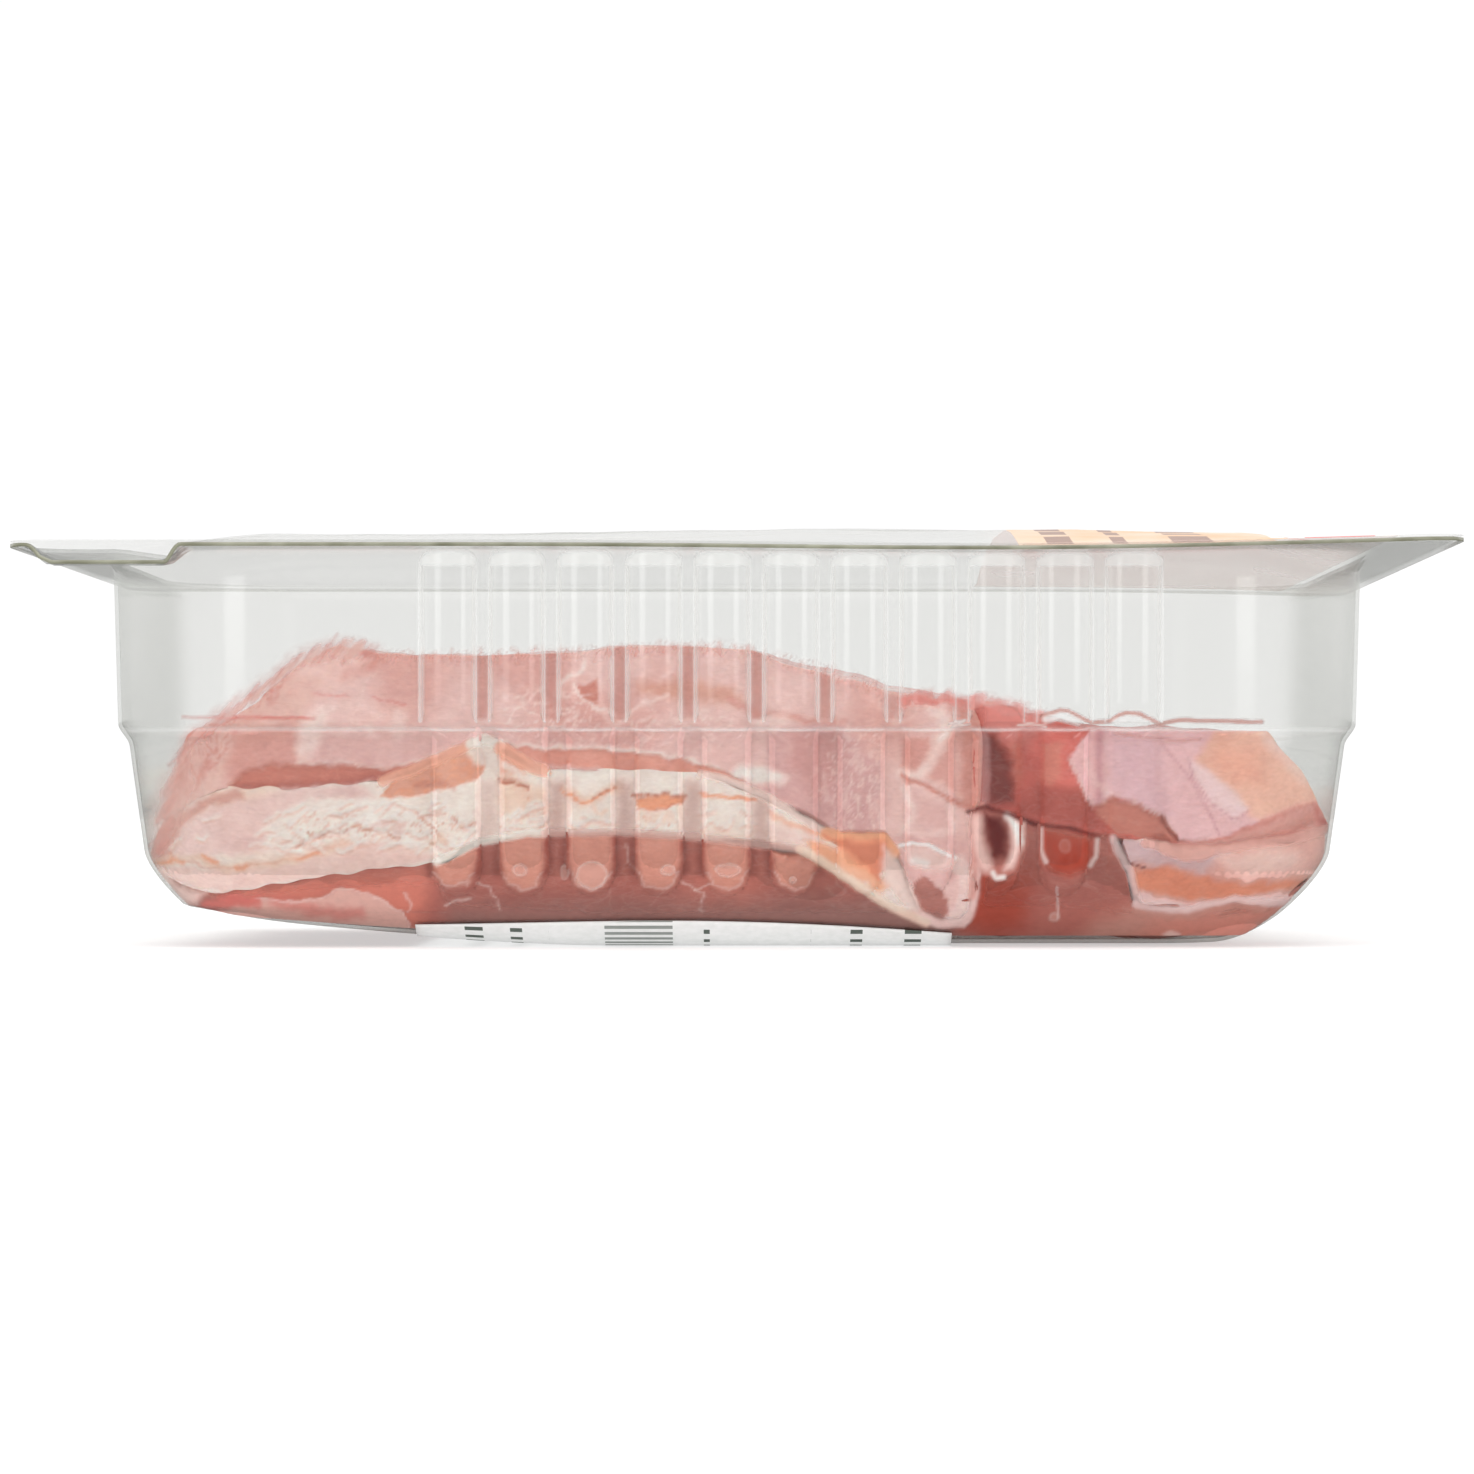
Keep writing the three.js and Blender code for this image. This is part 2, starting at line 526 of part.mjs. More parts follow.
// One cross-section of a cutlet: up the front wall, back over its top, and forward under it
function cutletSection(piece, x) {
  const end = Math.min(Math.min(x - piece.from, piece.to - x) / piece.round, 1);
  const fullness = Math.sqrt(1 - (1 - end) ** 2);
  const draw = piece.round * (1 - fullness) * MEAT.endDraw;
  const lowest = Math.max(MEAT.lowest + baseLift(x, MEAT.lowest),
    ...piece.under.map((layer) => layer.front(x) + MEAT.between));
  const frontLow = Math.max(lowest, bedHeight(piece.under, x, -roomY(x, lowest)));
  const frontTop = Math.max(piece.top.front(x), frontLow + MEAT.thinnest);
  const room = roomY(x, (frontTop + frontLow) / 2) - BACK.clear;
  const far = Math.min(piece.far + BACK.wave * Math.sin(x / BACK.waveLength), room) - draw;
  const rounding = (y) => Math.sqrt(Math.max(1 - Math.max(1 - (far - y) / MEAT.farRound, 0) ** 2, 0));
  const place = (y, z, middle) => new THREE.Vector3(drift(x, y), y, mix(middle, z, fullness));
  const depthPlaces = (z) => GRID.rows.map((row, k) => {
    const front = -roomY(x, z) + draw;
    return Math.min(Math.max(row, front + (k + 1) * GRID.spare), far - (GRID.rows.length - k) * GRID.spare);
  });
  const middleAt = (y) => (layerHeight(piece.top, x, y) + bedHeight(piece.under, x, y)) / 2;
  const wall = Array.from({ length: GRID.wallRows }, (_, k) => {
    const z = mix(frontLow, frontTop, k / (GRID.wallRows - 1));
    return place(-roomY(x, z) + draw, z, (frontLow + frontTop) / 2);
  });
  const over = depthPlaces(frontTop).map((y) => {
    const middle = middleAt(y);
    return place(y, mix(middle, layerHeight(piece.top, x, y), rounding(y)), middle);
  });
  const back = place(far, middleAt(far), middleAt(far));
  const beneath = depthPlaces(frontLow).reverse().map((y) => {
    const middle = middleAt(y);
    return place(y, mix(middle, bedHeight(piece.under, x, y), rounding(y)), middle);
  });
  return [...wall, ...over, back, ...beneath];
}

function cutletGeometry(piece) {
  return closedBody(stationsAlong(piece).map((x) => cutletSection(piece, x)), ladderCap, ladderCap);
}

// ---- Materials

const clearSheet = new THREE.MeshStandardMaterial({ color: 0xe4e8e2, roughness: 0.08, metalness: 0,
  transparent: true, opacity: 0.3 });
const clearFilm = new THREE.MeshStandardMaterial({ color: 0xeeeeec, roughness: 0.15, metalness: 0,
  transparent: true, opacity: 0.35 });
const paper = new THREE.MeshStandardMaterial({ color: 0xf2f2ef, roughness: 0.6, metalness: 0 });
const meatColours = {
  cutlet_base: 0xb37f76,
  cutlet_middle_left: 0xdfb5a4,
  cutlet_top_left: 0xd29b93,
  cutlet_middle_right: 0xd6a79b,
  cutlet_top_right: 0xc98c87,
};

// ---- Assembly

const pack = new THREE.Group();
const tray = new THREE.Group();
tray.position.z = LABEL_LIFT;
pack.add(tray);
tray.add(namedMesh('tray', trayGeometry(), clearSheet));
tray.add(namedMesh('lid_film', filmGeometry(), clearFilm));
tray.add(namedMesh('base_label', labelGeometry(), paper));
cutlets.forEach((piece) => {
  const colour = meatColours[piece.name];
  const meat = new THREE.MeshStandardMaterial({ color: colour, roughness: 0.35, metalness: 0 });
  tray.add(namedMesh(piece.name, cutletGeometry(piece), meat));
});

export default pack;
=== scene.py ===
import math

import bpy
import numpy as np
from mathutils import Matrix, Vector, noise


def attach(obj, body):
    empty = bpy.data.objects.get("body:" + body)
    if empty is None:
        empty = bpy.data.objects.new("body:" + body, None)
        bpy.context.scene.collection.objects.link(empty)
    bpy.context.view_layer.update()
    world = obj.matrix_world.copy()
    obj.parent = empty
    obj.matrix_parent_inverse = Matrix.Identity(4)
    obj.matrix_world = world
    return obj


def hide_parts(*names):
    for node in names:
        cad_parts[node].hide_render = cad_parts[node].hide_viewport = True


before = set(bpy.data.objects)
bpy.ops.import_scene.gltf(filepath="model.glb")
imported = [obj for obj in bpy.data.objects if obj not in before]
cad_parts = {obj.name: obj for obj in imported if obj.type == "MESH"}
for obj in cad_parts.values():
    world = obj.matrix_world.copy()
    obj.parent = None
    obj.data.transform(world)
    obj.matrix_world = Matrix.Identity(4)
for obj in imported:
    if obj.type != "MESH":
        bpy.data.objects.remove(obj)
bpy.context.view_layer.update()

mm = 0.001  # sizes below are in millimetres

# ---------- camera, light and floor
camera = {"distance": 705.5, "height": 18.75, "tiltUp": 0.78, "lens": 122.07, "focal": 4998}
light = {"world": 0.98, "backdrop": 1.03, "cameraSide": 0.07, "floorGlow": 0.52, "sun": 1.32, "sunAngle": 50,
         "sunLean": 28, "sunTurn": -8}
softBoxes = {"left": {"turn": -24, "glow": 1.4}, "right": {"turn": 29, "glow": 1.3}}
boxSize = {"width": 230, "height": 900, "away": 1000, "centre": 330}


def setCamera():
    data = bpy.data.cameras.new("camera")
    data.lens, data.sensor_width = camera["lens"], 36
    data.clip_start, data.clip_end = 0.05, 50
    eye = bpy.data.objects.new("camera", data)
    bpy.context.collection.objects.link(eye)
    eye.location = (0, -camera["distance"] * mm, camera["height"] * mm)
    eye.rotation_euler = (math.radians(90 + camera["tiltUp"]), 0, 0)
    bpy.context.scene.camera = eye


def setWorld():
    world = bpy.data.worlds.new("studio")
    world.use_nodes = True
    bpy.context.scene.world = world
    background = world.node_tree.nodes["Background"]
    background.inputs["Color"].default_value = (1, 1, 1, 1)
    apart = addNode(world, "ShaderNodeSeparateXYZ")
    link(world, addNode(world, "ShaderNodeTexCoord"), "Generated", apart, "Vector")
    # mirrored rays find the room dark on the camera's side
    side = addNode(world, "ShaderNodeMapRange", From_Min=-0.95, From_Max=0.1, To_Min=light["cameraSide"],
                   To_Max=0.95)
    side.interpolation_type = "SMOOTHSTEP"
    link(world, apart, "Y", side, "Value")
    path = addNode(world, "ShaderNodeLightPath")
    glossy = addNode(world, "ShaderNodeMix", A=light["world"])
    link(world, path, "Is Glossy Ray", glossy, "Factor")
    link(world, side, "Result", glossy, "B")
    seen = addNode(world, "ShaderNodeMix", B=light["backdrop"])
    link(world, path, "Is Camera Ray", seen, "Factor")
    link(world, glossy, "Result", seen, "A")
    link(world, seen, "Result", background, "Strength")


def addLamp(name, kind, energy, **values):
    data = bpy.data.lights.new(name, kind)
    data.energy = energy
    for key, value in values.items():
        setattr(data, key, value)
    lamp = bpy.data.objects.new(name, data)
    bpy.context.collection.objects.link(lamp)
    return lamp


def addLights():
    width, height, away = (boxSize[key] * mm for key in ("width", "height", "away"))
    for name, box in softBoxes.items():
        lamp = addLamp(name + "SoftBox", "AREA", box["glow"] * math.pi * width * height, shape="RECTANGLE",
                       size=width, size_y=height)
        turn = math.radians(box["turn"])
        lamp.location = (math.sin(turn) * away, -math.cos(turn) * away, boxSize["centre"] * mm)
        lamp.rotation_euler = (math.radians(90), 0, turn)
    lamp = addLamp("skyPanel", "SUN", light["sun"], angle=math.radians(light["sunAngle"]))
    lamp.rotation_euler = (math.radians(light["sunLean"]), 0, math.radians(light["sunTurn"]))


def addFloor():
    bpy.ops.mesh.primitive_plane_add(size=12, location=(0, 0, 0))
    floor = bpy.context.object
    floor.name = "floor"
    mat = newMaterial("palePaper")
    shader = mat.node_tree.nodes["Principled BSDF"]
    tone = rampNode(mat, noiseNode(mat, 40, 3), "Fac", [(0.3, (0.46, 0.46, 0.46)), (0.7, (0.5, 0.5, 0.5))])
    link(mat, tone, "Color", shader, "Base Color")
    setInputs(shader, Roughness=0.9, Specular_IOR_Level=0.1, Emission_Color=(1, 1, 1, 1),
              Emission_Strength=light["floorGlow"])
    # mirrored light finds the table dark, like the room in front of the pack
    dark = addNode(mat, "ShaderNodeBsdfDiffuse", Color=(0.22, 0.22, 0.22, 1))
    path = addNode(mat, "ShaderNodeLightPath")
    setSurface(mat, mixShaders(mat, path.outputs["Is Glossy Ray"], shader, dark))
    floor.data.materials.append(mat)


# ---------- small helpers
def newMaterial(name):
    mat = bpy.data.materials.new(name)
    mat.use_nodes = True
    return mat


def treeOf(mat):  # of a material or the world, or a node group itself
    return getattr(mat, "node_tree", mat)


def setInputs(node, **values):
    for key, value in values.items():
        node.inputs[key.replace("_", " ")].default_value = value


def addNode(mat, kind, **values):
    node = treeOf(mat).nodes.new(kind)
    setInputs(node, **values)
    return node


def link(mat, fromNode, output, toNode, entry):
    treeOf(mat).links.new(fromNode.outputs[output], toNode.inputs[entry])


def rampNode(mat, fromNode, output, stops):
    node = addNode(mat, "ShaderNodeValToRGB")
    first, last = node.color_ramp.elements
    first.position, last.position = stops[0][0], stops[-1][0]
    first.color, last.color = (*stops[0][1], 1), (*stops[-1][1], 1)
    for place, colour in stops[1:-1]:
        node.color_ramp.elements.new(place).color = (*colour, 1)
    link(mat, fromNode, output, node, "Fac")
    return node


def join(mat, socket, toNode, entry):
    treeOf(mat).links.new(socket, toNode.inputs[entry])


def noiseNode(mat, scale, detail):
    node = addNode(mat, "ShaderNodeTexNoise", Scale=float(scale), Detail=float(detail))
    link(mat, addNode(mat, "ShaderNodeTexCoord"), "Object", node, "Vector")
    return node


def axesNode(mat):
    node = addNode(mat, "ShaderNodeSeparateXYZ")
    link(mat, addNode(mat, "ShaderNodeTexCoord"), "Object", node, "Vector")
    return node


def mixShaders(mat, factor, first, second):
    node = addNode(mat, "ShaderNodeMixShader")
    for k, socket in enumerate((factor, first.outputs[0], second.outputs[0])):
        join(mat, socket, node, k)
    return node


def setSurface(mat, node):
    link(mat, node, 0, mat.node_tree.nodes["Material Output"], "Surface")


def addBump(mat, height, strength, distance, *shaders):
    bump = addNode(mat, "ShaderNodeBump", Strength=strength, Distance=distance)
    join(mat, height, bump, "Height")
    for shader in shaders:
        link(mat, bump, "Normal", shader, "Normal")


def attributeNode(mat, name):
    node = addNode(mat, "ShaderNodeAttribute")
    node.attribute_name = name
    return node


def mathNode(mat, operation, a, b=None, c=None):
    node = addNode(mat, "ShaderNodeMath")
    node.operation = operation
    for k, value in enumerate((a, b, c)):
        if isinstance(value, bpy.types.NodeSocket):
            join(mat, value, node, k)
        elif value is not None:
            node.inputs[k].default_value = value
    return node.outputs[0]


def product(mat, first, *factors):
    for factor in factors:
        first = mathNode(mat, "MULTIPLY", first, factor)
    return first


def inBands(mat, value, *ranges):  # 1 where a length in metres lies within a range given in mm
    total = None
    for low, high in ranges:
        above = mathNode(mat, "GREATER_THAN", value, low * mm)
        part = product(mat, above, mathNode(mat, "LESS_THAN", value, high * mm))
        total = part if total is None else mathNode(mat, "ADD", total, part)
    return total


def inStripes(mat, value, perMetre, share):
    return mathNode(mat, "LESS_THAN", mathNode(mat, "FRACT", product(mat, value, perMetre)), share)


def mixColour(mat, factor, a, b, blend="MIX"):
    node = addNode(mat, "ShaderNodeMix")
    node.data_type, node.blend_type = "RGBA", blend
    for key, value in (("Factor_Float", factor), ("A_Color", a), ("B_Color", b)):
        socket = next(s for s in node.inputs if s.identifier == key)
        if isinstance(value, bpy.types.NodeSocket):
            treeOf(mat).links.new(value, socket)
        else:
            socket.default_value = (*value, 1) if isinstance(value, tuple) else value
    return next(s for s in node.outputs if s.identifier == "Result_Color")


def linear(r, g, b):
    return tuple(((v / 255 + 0.055) / 1.055) ** 2.4 if v > 10 else v / 3294 for v in (r, g, b))


def only(piece):
    bpy.ops.object.select_all(action="DESELECT")
    piece.select_set(True)
    bpy.context.view_layer.objects.active = piece


def applied(piece, kind, **values):
    only(piece)
    bpy.ops.object.modifier_add(type=kind)
    modifier = piece.modifiers[-1]
    for key, value in values.items():
        setattr(modifier, key, value)
    bpy.ops.object.modifier_apply(modifier=modifier.name)


# Does one thing in edit mode to all of a piece, or to the wanted faces only
def edited(piece, change, wanted=None, **values):
    only(piece)
    bpy.ops.object.mode_set(mode="EDIT")
    if wanted is None:
        bpy.ops.mesh.select_all(action="SELECT")
    else:
        bpy.ops.mesh.select_mode(type="FACE")
        bpy.ops.mesh.select_all(action="DESELECT")
        bpy.ops.object.mode_set(mode="OBJECT")
        piece.data.polygons.foreach_set("select", wanted)
        bpy.ops.object.mode_set(mode="EDIT")
    change(**values)
    bpy.ops.object.mode_set(mode="OBJECT")


def vectors(items, name):  # an array of x, y, z from every vertex or face
    values = np.empty(len(items) * 3, np.float32)
    items.foreach_get(name, values)
    return values.reshape(-1, 3)


def points(piece):
    return vectors(piece.data.vertices, "co").astype(float) / mm


def setPoints(piece, co):
    piece.data.vertices.foreach_set("co", (co * mm).astype(np.float32).ravel())
    piece.data.update()


def setValues(piece, name, values):
    attribute = piece.data.attributes.new(name, "FLOAT", "POINT")
    attribute.data.foreach_set("value", np.asarray(values, np.float32))


def smooth01(t):
    t = np.clip(t, 0, 1)
    return t * t * (3 - 2 * t)


def rise(v, start, end):
    return smooth01((v - start) / (end - start))


def bell(v, at, spread):
    return np.exp(-(((v - at) / spread) ** 2))


# ---------- the tray's shape, as far in from its top outline as each height says
liftOfLabel = 0.35
tray = {"sheet": 0.5, "halfLength": 83.2, "halfWidth": 58.3, "corner": 21, "cornerAtBase": 10,
        "wallTop": 49.15, "draft": 0.6, "ledgeTop": 28.9, "ledgeBottom": 26.6, "ledgeInset": 2.15,
        "footTop": 12.4, "footTopInset": 4.1, "footInset": 19, "wallPull": 3.5, "basePull": 5.5}
flange = {"halfLength": 93.5, "halfWidth": 68.5, "corner": 6, "under": 51.45, "root": 2.6}
ribs = {"count": 11, "first": -37.43, "pitch": 8.88, "halfWidth": 3.63, "depth": 1.6}
lowRibs = {"first": -36.55, "pitch": 8.79, "halfWidth": 3.15, "depth": 1.5, "straightTo": 11, "roundEnd": 4.6}
straightX, straightY = tray["halfLength"] - tray["corner"], tray["halfWidth"] - tray["corner"]


def footCurve(t):
    corners = [(tray["footTopInset"], tray["footTop"]),
               (tray["footTopInset"] + 0.13 * tray["wallPull"], tray["footTop"] - tray["wallPull"]),
               (tray["footInset"] - tray["basePull"], 0), (tray["footInset"], 0)]
    weights = [(1 - t) ** 3, 3 * t * (1 - t) ** 2, 3 * t * t * (1 - t), t ** 3]
    return [sum(w * c[k] for w, c in zip(weights, corners)) for k in (0, 1)]


def sectionTable():
    pairs = [(tray["wallTop"], 0), (tray["ledgeTop"] + 0.5, tray["draft"])]
    for share in np.linspace(0, 1, 9):  # the ledge, with rounded bends
        height = tray["ledgeTop"] + 0.4 - share * (tray["ledgeTop"] - tray["ledgeBottom"] + 0.8)
        pairs.append((height, tray["draft"] + (tray["ledgeInset"] - tray["draft"]) * float(smooth01(share))))
    pairs += [(footCurve(t)[1], footCurve(t)[0]) for t in np.linspace(0, 1, 24)]
    return np.array(pairs[::-1])


section = sectionTable()


def insetAt(z):
    return np.interp(z, section[:, 0], section[:, 1])


def baseLift(x, z):  # the base's left part is bowed up
    run = np.maximum(-18 - x, 0)
    return 0.01 * run ** 1.5 * np.maximum(1 - z / 5, 0)


def rimWarp(x, y):
    end = np.maximum(x - 40, 0) / (flange["halfLength"] - 40)
    front = np.maximum(-y / flange["halfWidth"], 0)
    return 0.9 * end * end * (-y / flange["halfWidth"]) - 0.45 * front * bell(x, 30, 34)


def peelDrop(x, y):  # the front left corner is pressed down for a finger
    along = rise(x, -71, -73) * (1 - rise(x, -88, -91))
    return 2.3 * along * (1 - rise(y, -64, -50))


def ribRound(across, down=0.0):
    return np.sqrt(np.maximum(1 - across ** 2 - down ** 2, 0))


def highBulge(across, z):
    cut = np.clip((z - tray["ledgeTop"] - 0.1) * 0.67, 0, None)  # the ledge's slope cuts the rib's lower end
    return np.minimum(ribs["depth"] * ribRound(across), cut)


def lowBulge(across, z):
    down = np.maximum(lowRibs["straightTo"] - z, 0) / lowRibs["roundEnd"]
    fade = 1 - rise(z, tray["ledgeBottom"], tray["ledgeTop"])
    return lowRibs["depth"] * ribRound(across, down) * fade


# How far the front wall bulges out at a place, told from x instead of from a rib's own columns
def bulgeAt(x, z):
    high = (x - ribs["first"]) / ribs["pitch"]
    low = (x - lowRibs["first"]) / lowRibs["pitch"]
    count = ribs["count"] - 1
    acrossHigh = (high - np.clip(np.round(high), 0, count)) * ribs["pitch"] / ribs["halfWidth"]
    acrossLow = (low - np.clip(np.round(low), 0, count)) * lowRibs["pitch"] / lowRibs["halfWidth"]
    bulge = np.where(z > tray["ledgeTop"], highBulge(acrossHigh, z), lowBulge(acrossLow, z))
    return np.where(np.minimum(abs(acrossHigh), abs(acrossLow)) > 1.4, 0, bulge)


def cornerRadius(inset):
    return max(tray["corner"] - inset, tray["cornerAtBase"])


# Places round the outline: fine across the ribs, fine where the peel corner steps down
def outlinePlaces():
    first = ribs["first"] - ribs["halfWidth"]
    places = [{"x": x, "side": -1} for x in np.linspace(-straightX, first - 0.4, 9)]
    for k in range(ribs["count"]):
        for t in np.linspace(-1, 1, 15):
            places.append({"rib": k, "across": math.sin(t * math.pi / 2), "side": -1})
        if k < ribs["count"] - 1:
            places += [{"gap": k, "share": share, "side": -1} for share in (0.1, 0.5, 0.9)]
    last = ribs["first"] + (ribs["count"] - 1) * ribs["pitch"] + ribs["halfWidth"]
    places += [{"x": x, "side": -1} for x in np.linspace(last + 0.4, straightX, 5)[:-1]]
    quarter = np.radians(np.linspace(0, 90, 19))
    peel = np.radians([0, 4, 8, 12, *np.linspace(14, 21, 15), 24, 28, 32, 36, 39, 41, *np.linspace(42, 45, 9),
                       47, 50, 55, 61, 68, 75, 82, 90])
    places += [{"turn": a, "sideX": 1, "sideY": -1} for a in quarter]
    places += [{"y": y, "side": 1} for y in np.linspace(-straightY, straightY, 22)[1:-1]]
    places += [{"turn": a, "sideX": 1, "sideY": 1} for a in quarter[::-1]]
    places += [{"x": x, "side": 1} for x in np.linspace(straightX, -straightX, 40)[1:-1]]
    places += [{"turn": a, "sideX": -1, "sideY": 1} for a in quarter]
    places += [{"y": y, "side": -1} for y in np.linspace(straightY, -straightY, 22)[1:-1]]
    places += [{"turn": a, "sideX": -1, "sideY": -1} for a in peel[::-1]][:-1]
    return places


def frontX(place, z):  # columns on a rib shift sideways below the ledge, where the ribs are narrower
    if "x" in place:
        return place["x"]
    share = float(rise(z, tray["ledgeBottom"], tray["ledgeTop"]))
    k = place.get("rib", place.get("gap"))
    high, low = ribs["first"] + k * ribs["pitch"], lowRibs["first"] + k * lowRibs["pitch"]
    if "rib" in place:
        return share * (high + place["across"] * ribs["halfWidth"]) \
            + (1 - share) * (low + place["across"] * lowRibs["halfWidth"])
    gapHigh, gapLow = ribs["pitch"] - 2 * ribs["halfWidth"], lowRibs["pitch"] - 2 * lowRibs["halfWidth"]
    return share * (high + ribs["halfWidth"] + place["share"] * gapHigh) \
        + (1 - share) * (low + lowRibs["halfWidth"] + place["share"] * gapLow)


def bodyPoint(place, inset, z):
    radius = cornerRadius(inset)
    centreX, centreY = tray["halfLength"] - inset - radius, tray["halfWidth"] - inset - radius
    if "turn" in place:
        return (place["sideX"] * (centreX + radius * math.sin(place["turn"])),
                place["sideY"] * (centreY + radius * math.cos(place["turn"])))
    if "y" in place:
        return place["side"] * (tray["halfLength"] - inset), place["y"] * centreY / straightY
    x, y = frontX(place, z) * centreX / straightX, place["side"] * (tray["halfWidth"] - inset)
    if "rib" in place:
        high = max(float(highBulge(place["across"], z)) + min(inset, 0), 0)
        y -= high if z > tray["ledgeTop"] else float(lowBulge(place["across"], z))
    return x, y


def flangePoint(place):
    if "turn" not in place:
        if "y" in place:
            return place["side"] * flange["halfLength"], place["y"]
        return frontX(place, flange["under"]), place["side"] * flange["halfWidth"]
    reachX, reachY = flange["halfLength"] - straightX, flange["halfWidth"] - straightY
    dirX, dirY = math.sin(place["turn"]), math.cos(place["turn"])
    arcX, arcY = reachX - flange["corner"], reachY - flange["corner"]
    reach = min(reachX / max(dirX, 1e-6), reachY / max(dirY, 1e-6))
    if dirX * reach > arcX and dirY * reach > arcY:
        along = dirX * arcX + dirY * arcY
        reach = along + math.sqrt(along * along - arcX * arcX - arcY * arcY + flange["corner"] ** 2)
    return place["sideX"] * (straightX + dirX * reach), place["sideY"] * (straightY + dirY * reach)


def trayStations():
    radius = flange["under"] - tray["wallTop"]
    stations = []
    for share in np.linspace(0, 1, 10):
        turn = share * math.pi / 2
        stations.append((-flange["root"] + radius * math.sin(turn) + (flange["root"] - radius) * share,
                         flange["under"] - radius * (1 - math.cos(turn))))
    heights = [*np.linspace(tray["wallTop"], 32, 12)[1:], *np.linspace(31.6, 26, 22),
               *np.linspace(25.2, tray["footTop"], 12)]
    stations += [(float(insetAt(z)), z) for z in heights]
    stations += [tuple(footCurve(t)) for t in np.linspace(0, 1, 22)[1:]]
    return stations


# the painted colour of each place, painted shade and painted highlights included, with a fourth value beside
# it
def setTissueAndPaintedLight(piece, colour, fourth):
    tissueAndPaintedLight = piece.data.color_attributes.new("tissueAndPaintedLight", "FLOAT_COLOR", "POINT")
    tissueAndPaintedLight.data.foreach_set("color", np.column_stack([colour, fourth]).astype(np.float32).ravel())


# A flat grid, with each of its points' share of the way across and along
def gridPiece(name, columns, rows):
    bpy.ops.object.select_all(action="DESELECT")
    bpy.ops.mesh.primitive_grid_add(x_subdivisions=columns, y_subdivisions=rows, size=2, calc_uvs=False)
    piece = bpy.context.object
    piece.name = name
    co = points(piece) * mm
    return piece, (co[:, 0] + 1) / 2, (co[:, 1] + 1) / 2


# A sheet of rings, from a grid primitive whose columns run round and whose rows run inwards
def ringSheet(name, rings):
    rows, columns = len(rings) - 1, len(rings[0])
    piece, u, v = gridPiece(name, columns, rows)
    column = np.round(u * columns).astype(int) % columns
    row = np.round(v * rows).astype(int)
    setPoints(piece, np.array(rings)[row, column])
    edited(piece, bpy.ops.mesh.remove_doubles, threshold=1e-6)
    return piece


# Turns a sheet over if its lowest face doesn't look the way it should
def faceLowest(piece, upwards):
    lowest = min(piece.data.polygons, key=lambda face: face.center.z)
    if (lowest.normal.z < 0) if upwards else (lowest.normal.z > 0):
        edited(piece, bpy.ops.mesh.flip_normals)


def finished(piece, slot, *nodes):
    only(piece)
    bpy.ops.object.shade_smooth()
    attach(piece, "root")
    if nodes:
        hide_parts(*nodes)
    print("made", piece.name, len(piece.data.polygons), "faces")
    return piece


def buildTray():
    places = outlinePlaces()
    rings = []
    for share in (0, 0.08, 0.3, 0.55, 0.8):
        ring = []
        for place in places:
            edge, root = flangePoint(place), bodyPoint(place, -flange["root"], flange["under"])
            x, y = (edge[k] + (root[k] - edge[k]) * share for k in (0, 1))
            ring.append((x, y, flange["under"] + rimWarp(x, y) - peelDrop(x, y)))
        rings.append(ring)
    for inset, z in trayStations():
        rim = min(max((z - tray["wallTop"]) / (flange["under"] - tray["wallTop"]), 0), 1)
        ring = []
        for place in places:
            x, y = bodyPoint(place, inset, z)
            ring.append((x, y, z + float(baseLift(x, z)) + rim * float(rimWarp(x, y) - peelDrop(x, y))))
        rings.append(ring)
    floorRing = [bodyPoint(place, tray["footInset"], 0) for place in places]
    for share in (0.85, 0.65, 0.4, 0.2, 0):
        rings.append([(x * share, y * share, float(baseLift(x * share, 0))) for x, y in floorRing])
    rings = np.array(rings, float)
    rings[:, :, 2] += liftOfLabel
    piece = ringSheet("clear_tray_shell", rings)
    faceLowest(piece, upwards=False)
    markEdgeHighlights(piece)
    piece.data.materials.append(clearPlastic("clearSheet"))
    piece.data.materials.append(cutEdge())
    applied(piece, "SOLIDIFY", thickness=tray["sheet"] * mm, offset=-1, use_rim=True, material_offset_rim=1)
    return finished(piece, "clear_tray", "tray")


# Where the sheet is bent sharply a thin white line is painted on, as a painted highlight
def markEdgeHighlights(piece):
    co = points(piece)
    x, y, z = co[:, 0], co[:, 1], co[:, 2] - liftOfLabel
    high = (x - ribs["first"]) / ribs["pitch"]
    across = (high - np.clip(np.round(high), 0, ribs["count"] - 1)) * ribs["pitch"] / ribs["halfWidth"]
    onFront = (y < -50) & (abs(across) < 1.3)
    sides = bell(abs(across), 1.0, 0.03) * (z > tray["ledgeTop"] + 0.2) * (z < flange["under"] - 1.2)
    flare = np.maximum(-(y + tray["halfWidth"]), 0)
    arch = bell(ribs["depth"] * ribRound(across), flare, 0.22)
    arch = arch * (z > tray["wallTop"] + 0.1) * (abs(across) < 1)
    ledge = bell(z, tray["ledgeTop"] - 0.7, 0.16) * 0.8
    setValues(piece, "paintedEdgeHighlight", np.maximum(np.where(onFront, np.maximum(sides, arch), 0),
                                               np.where(abs(z - 28) < 2, ledge, 0)))


# ---------- materials of the pack
plastic = {"tint": (0.932, 0.933, 0.927), "steepTint": (0.81, 0.815, 0.8), "farTint": (0.985, 0.985, 0.98),
           "filmTint": (0.965, 0.965, 0.96), "mirror": 0.045, "roughness": 0.12, "edgeHighlightStrength": 0.36,
           "farGloss": 0.2}


def glossFactor(mat, strength):  # Schlick's share of mirrored light, the same from both faces
    facing = addNode(mat, "ShaderNodeLayerWeight", Blend=0.5)
    steep = mathNode(mat, "POWER", facing.outputs["Facing"], 5.0)
    return mathNode(mat, "MULTIPLY_ADD", steep, strength, plastic["mirror"])


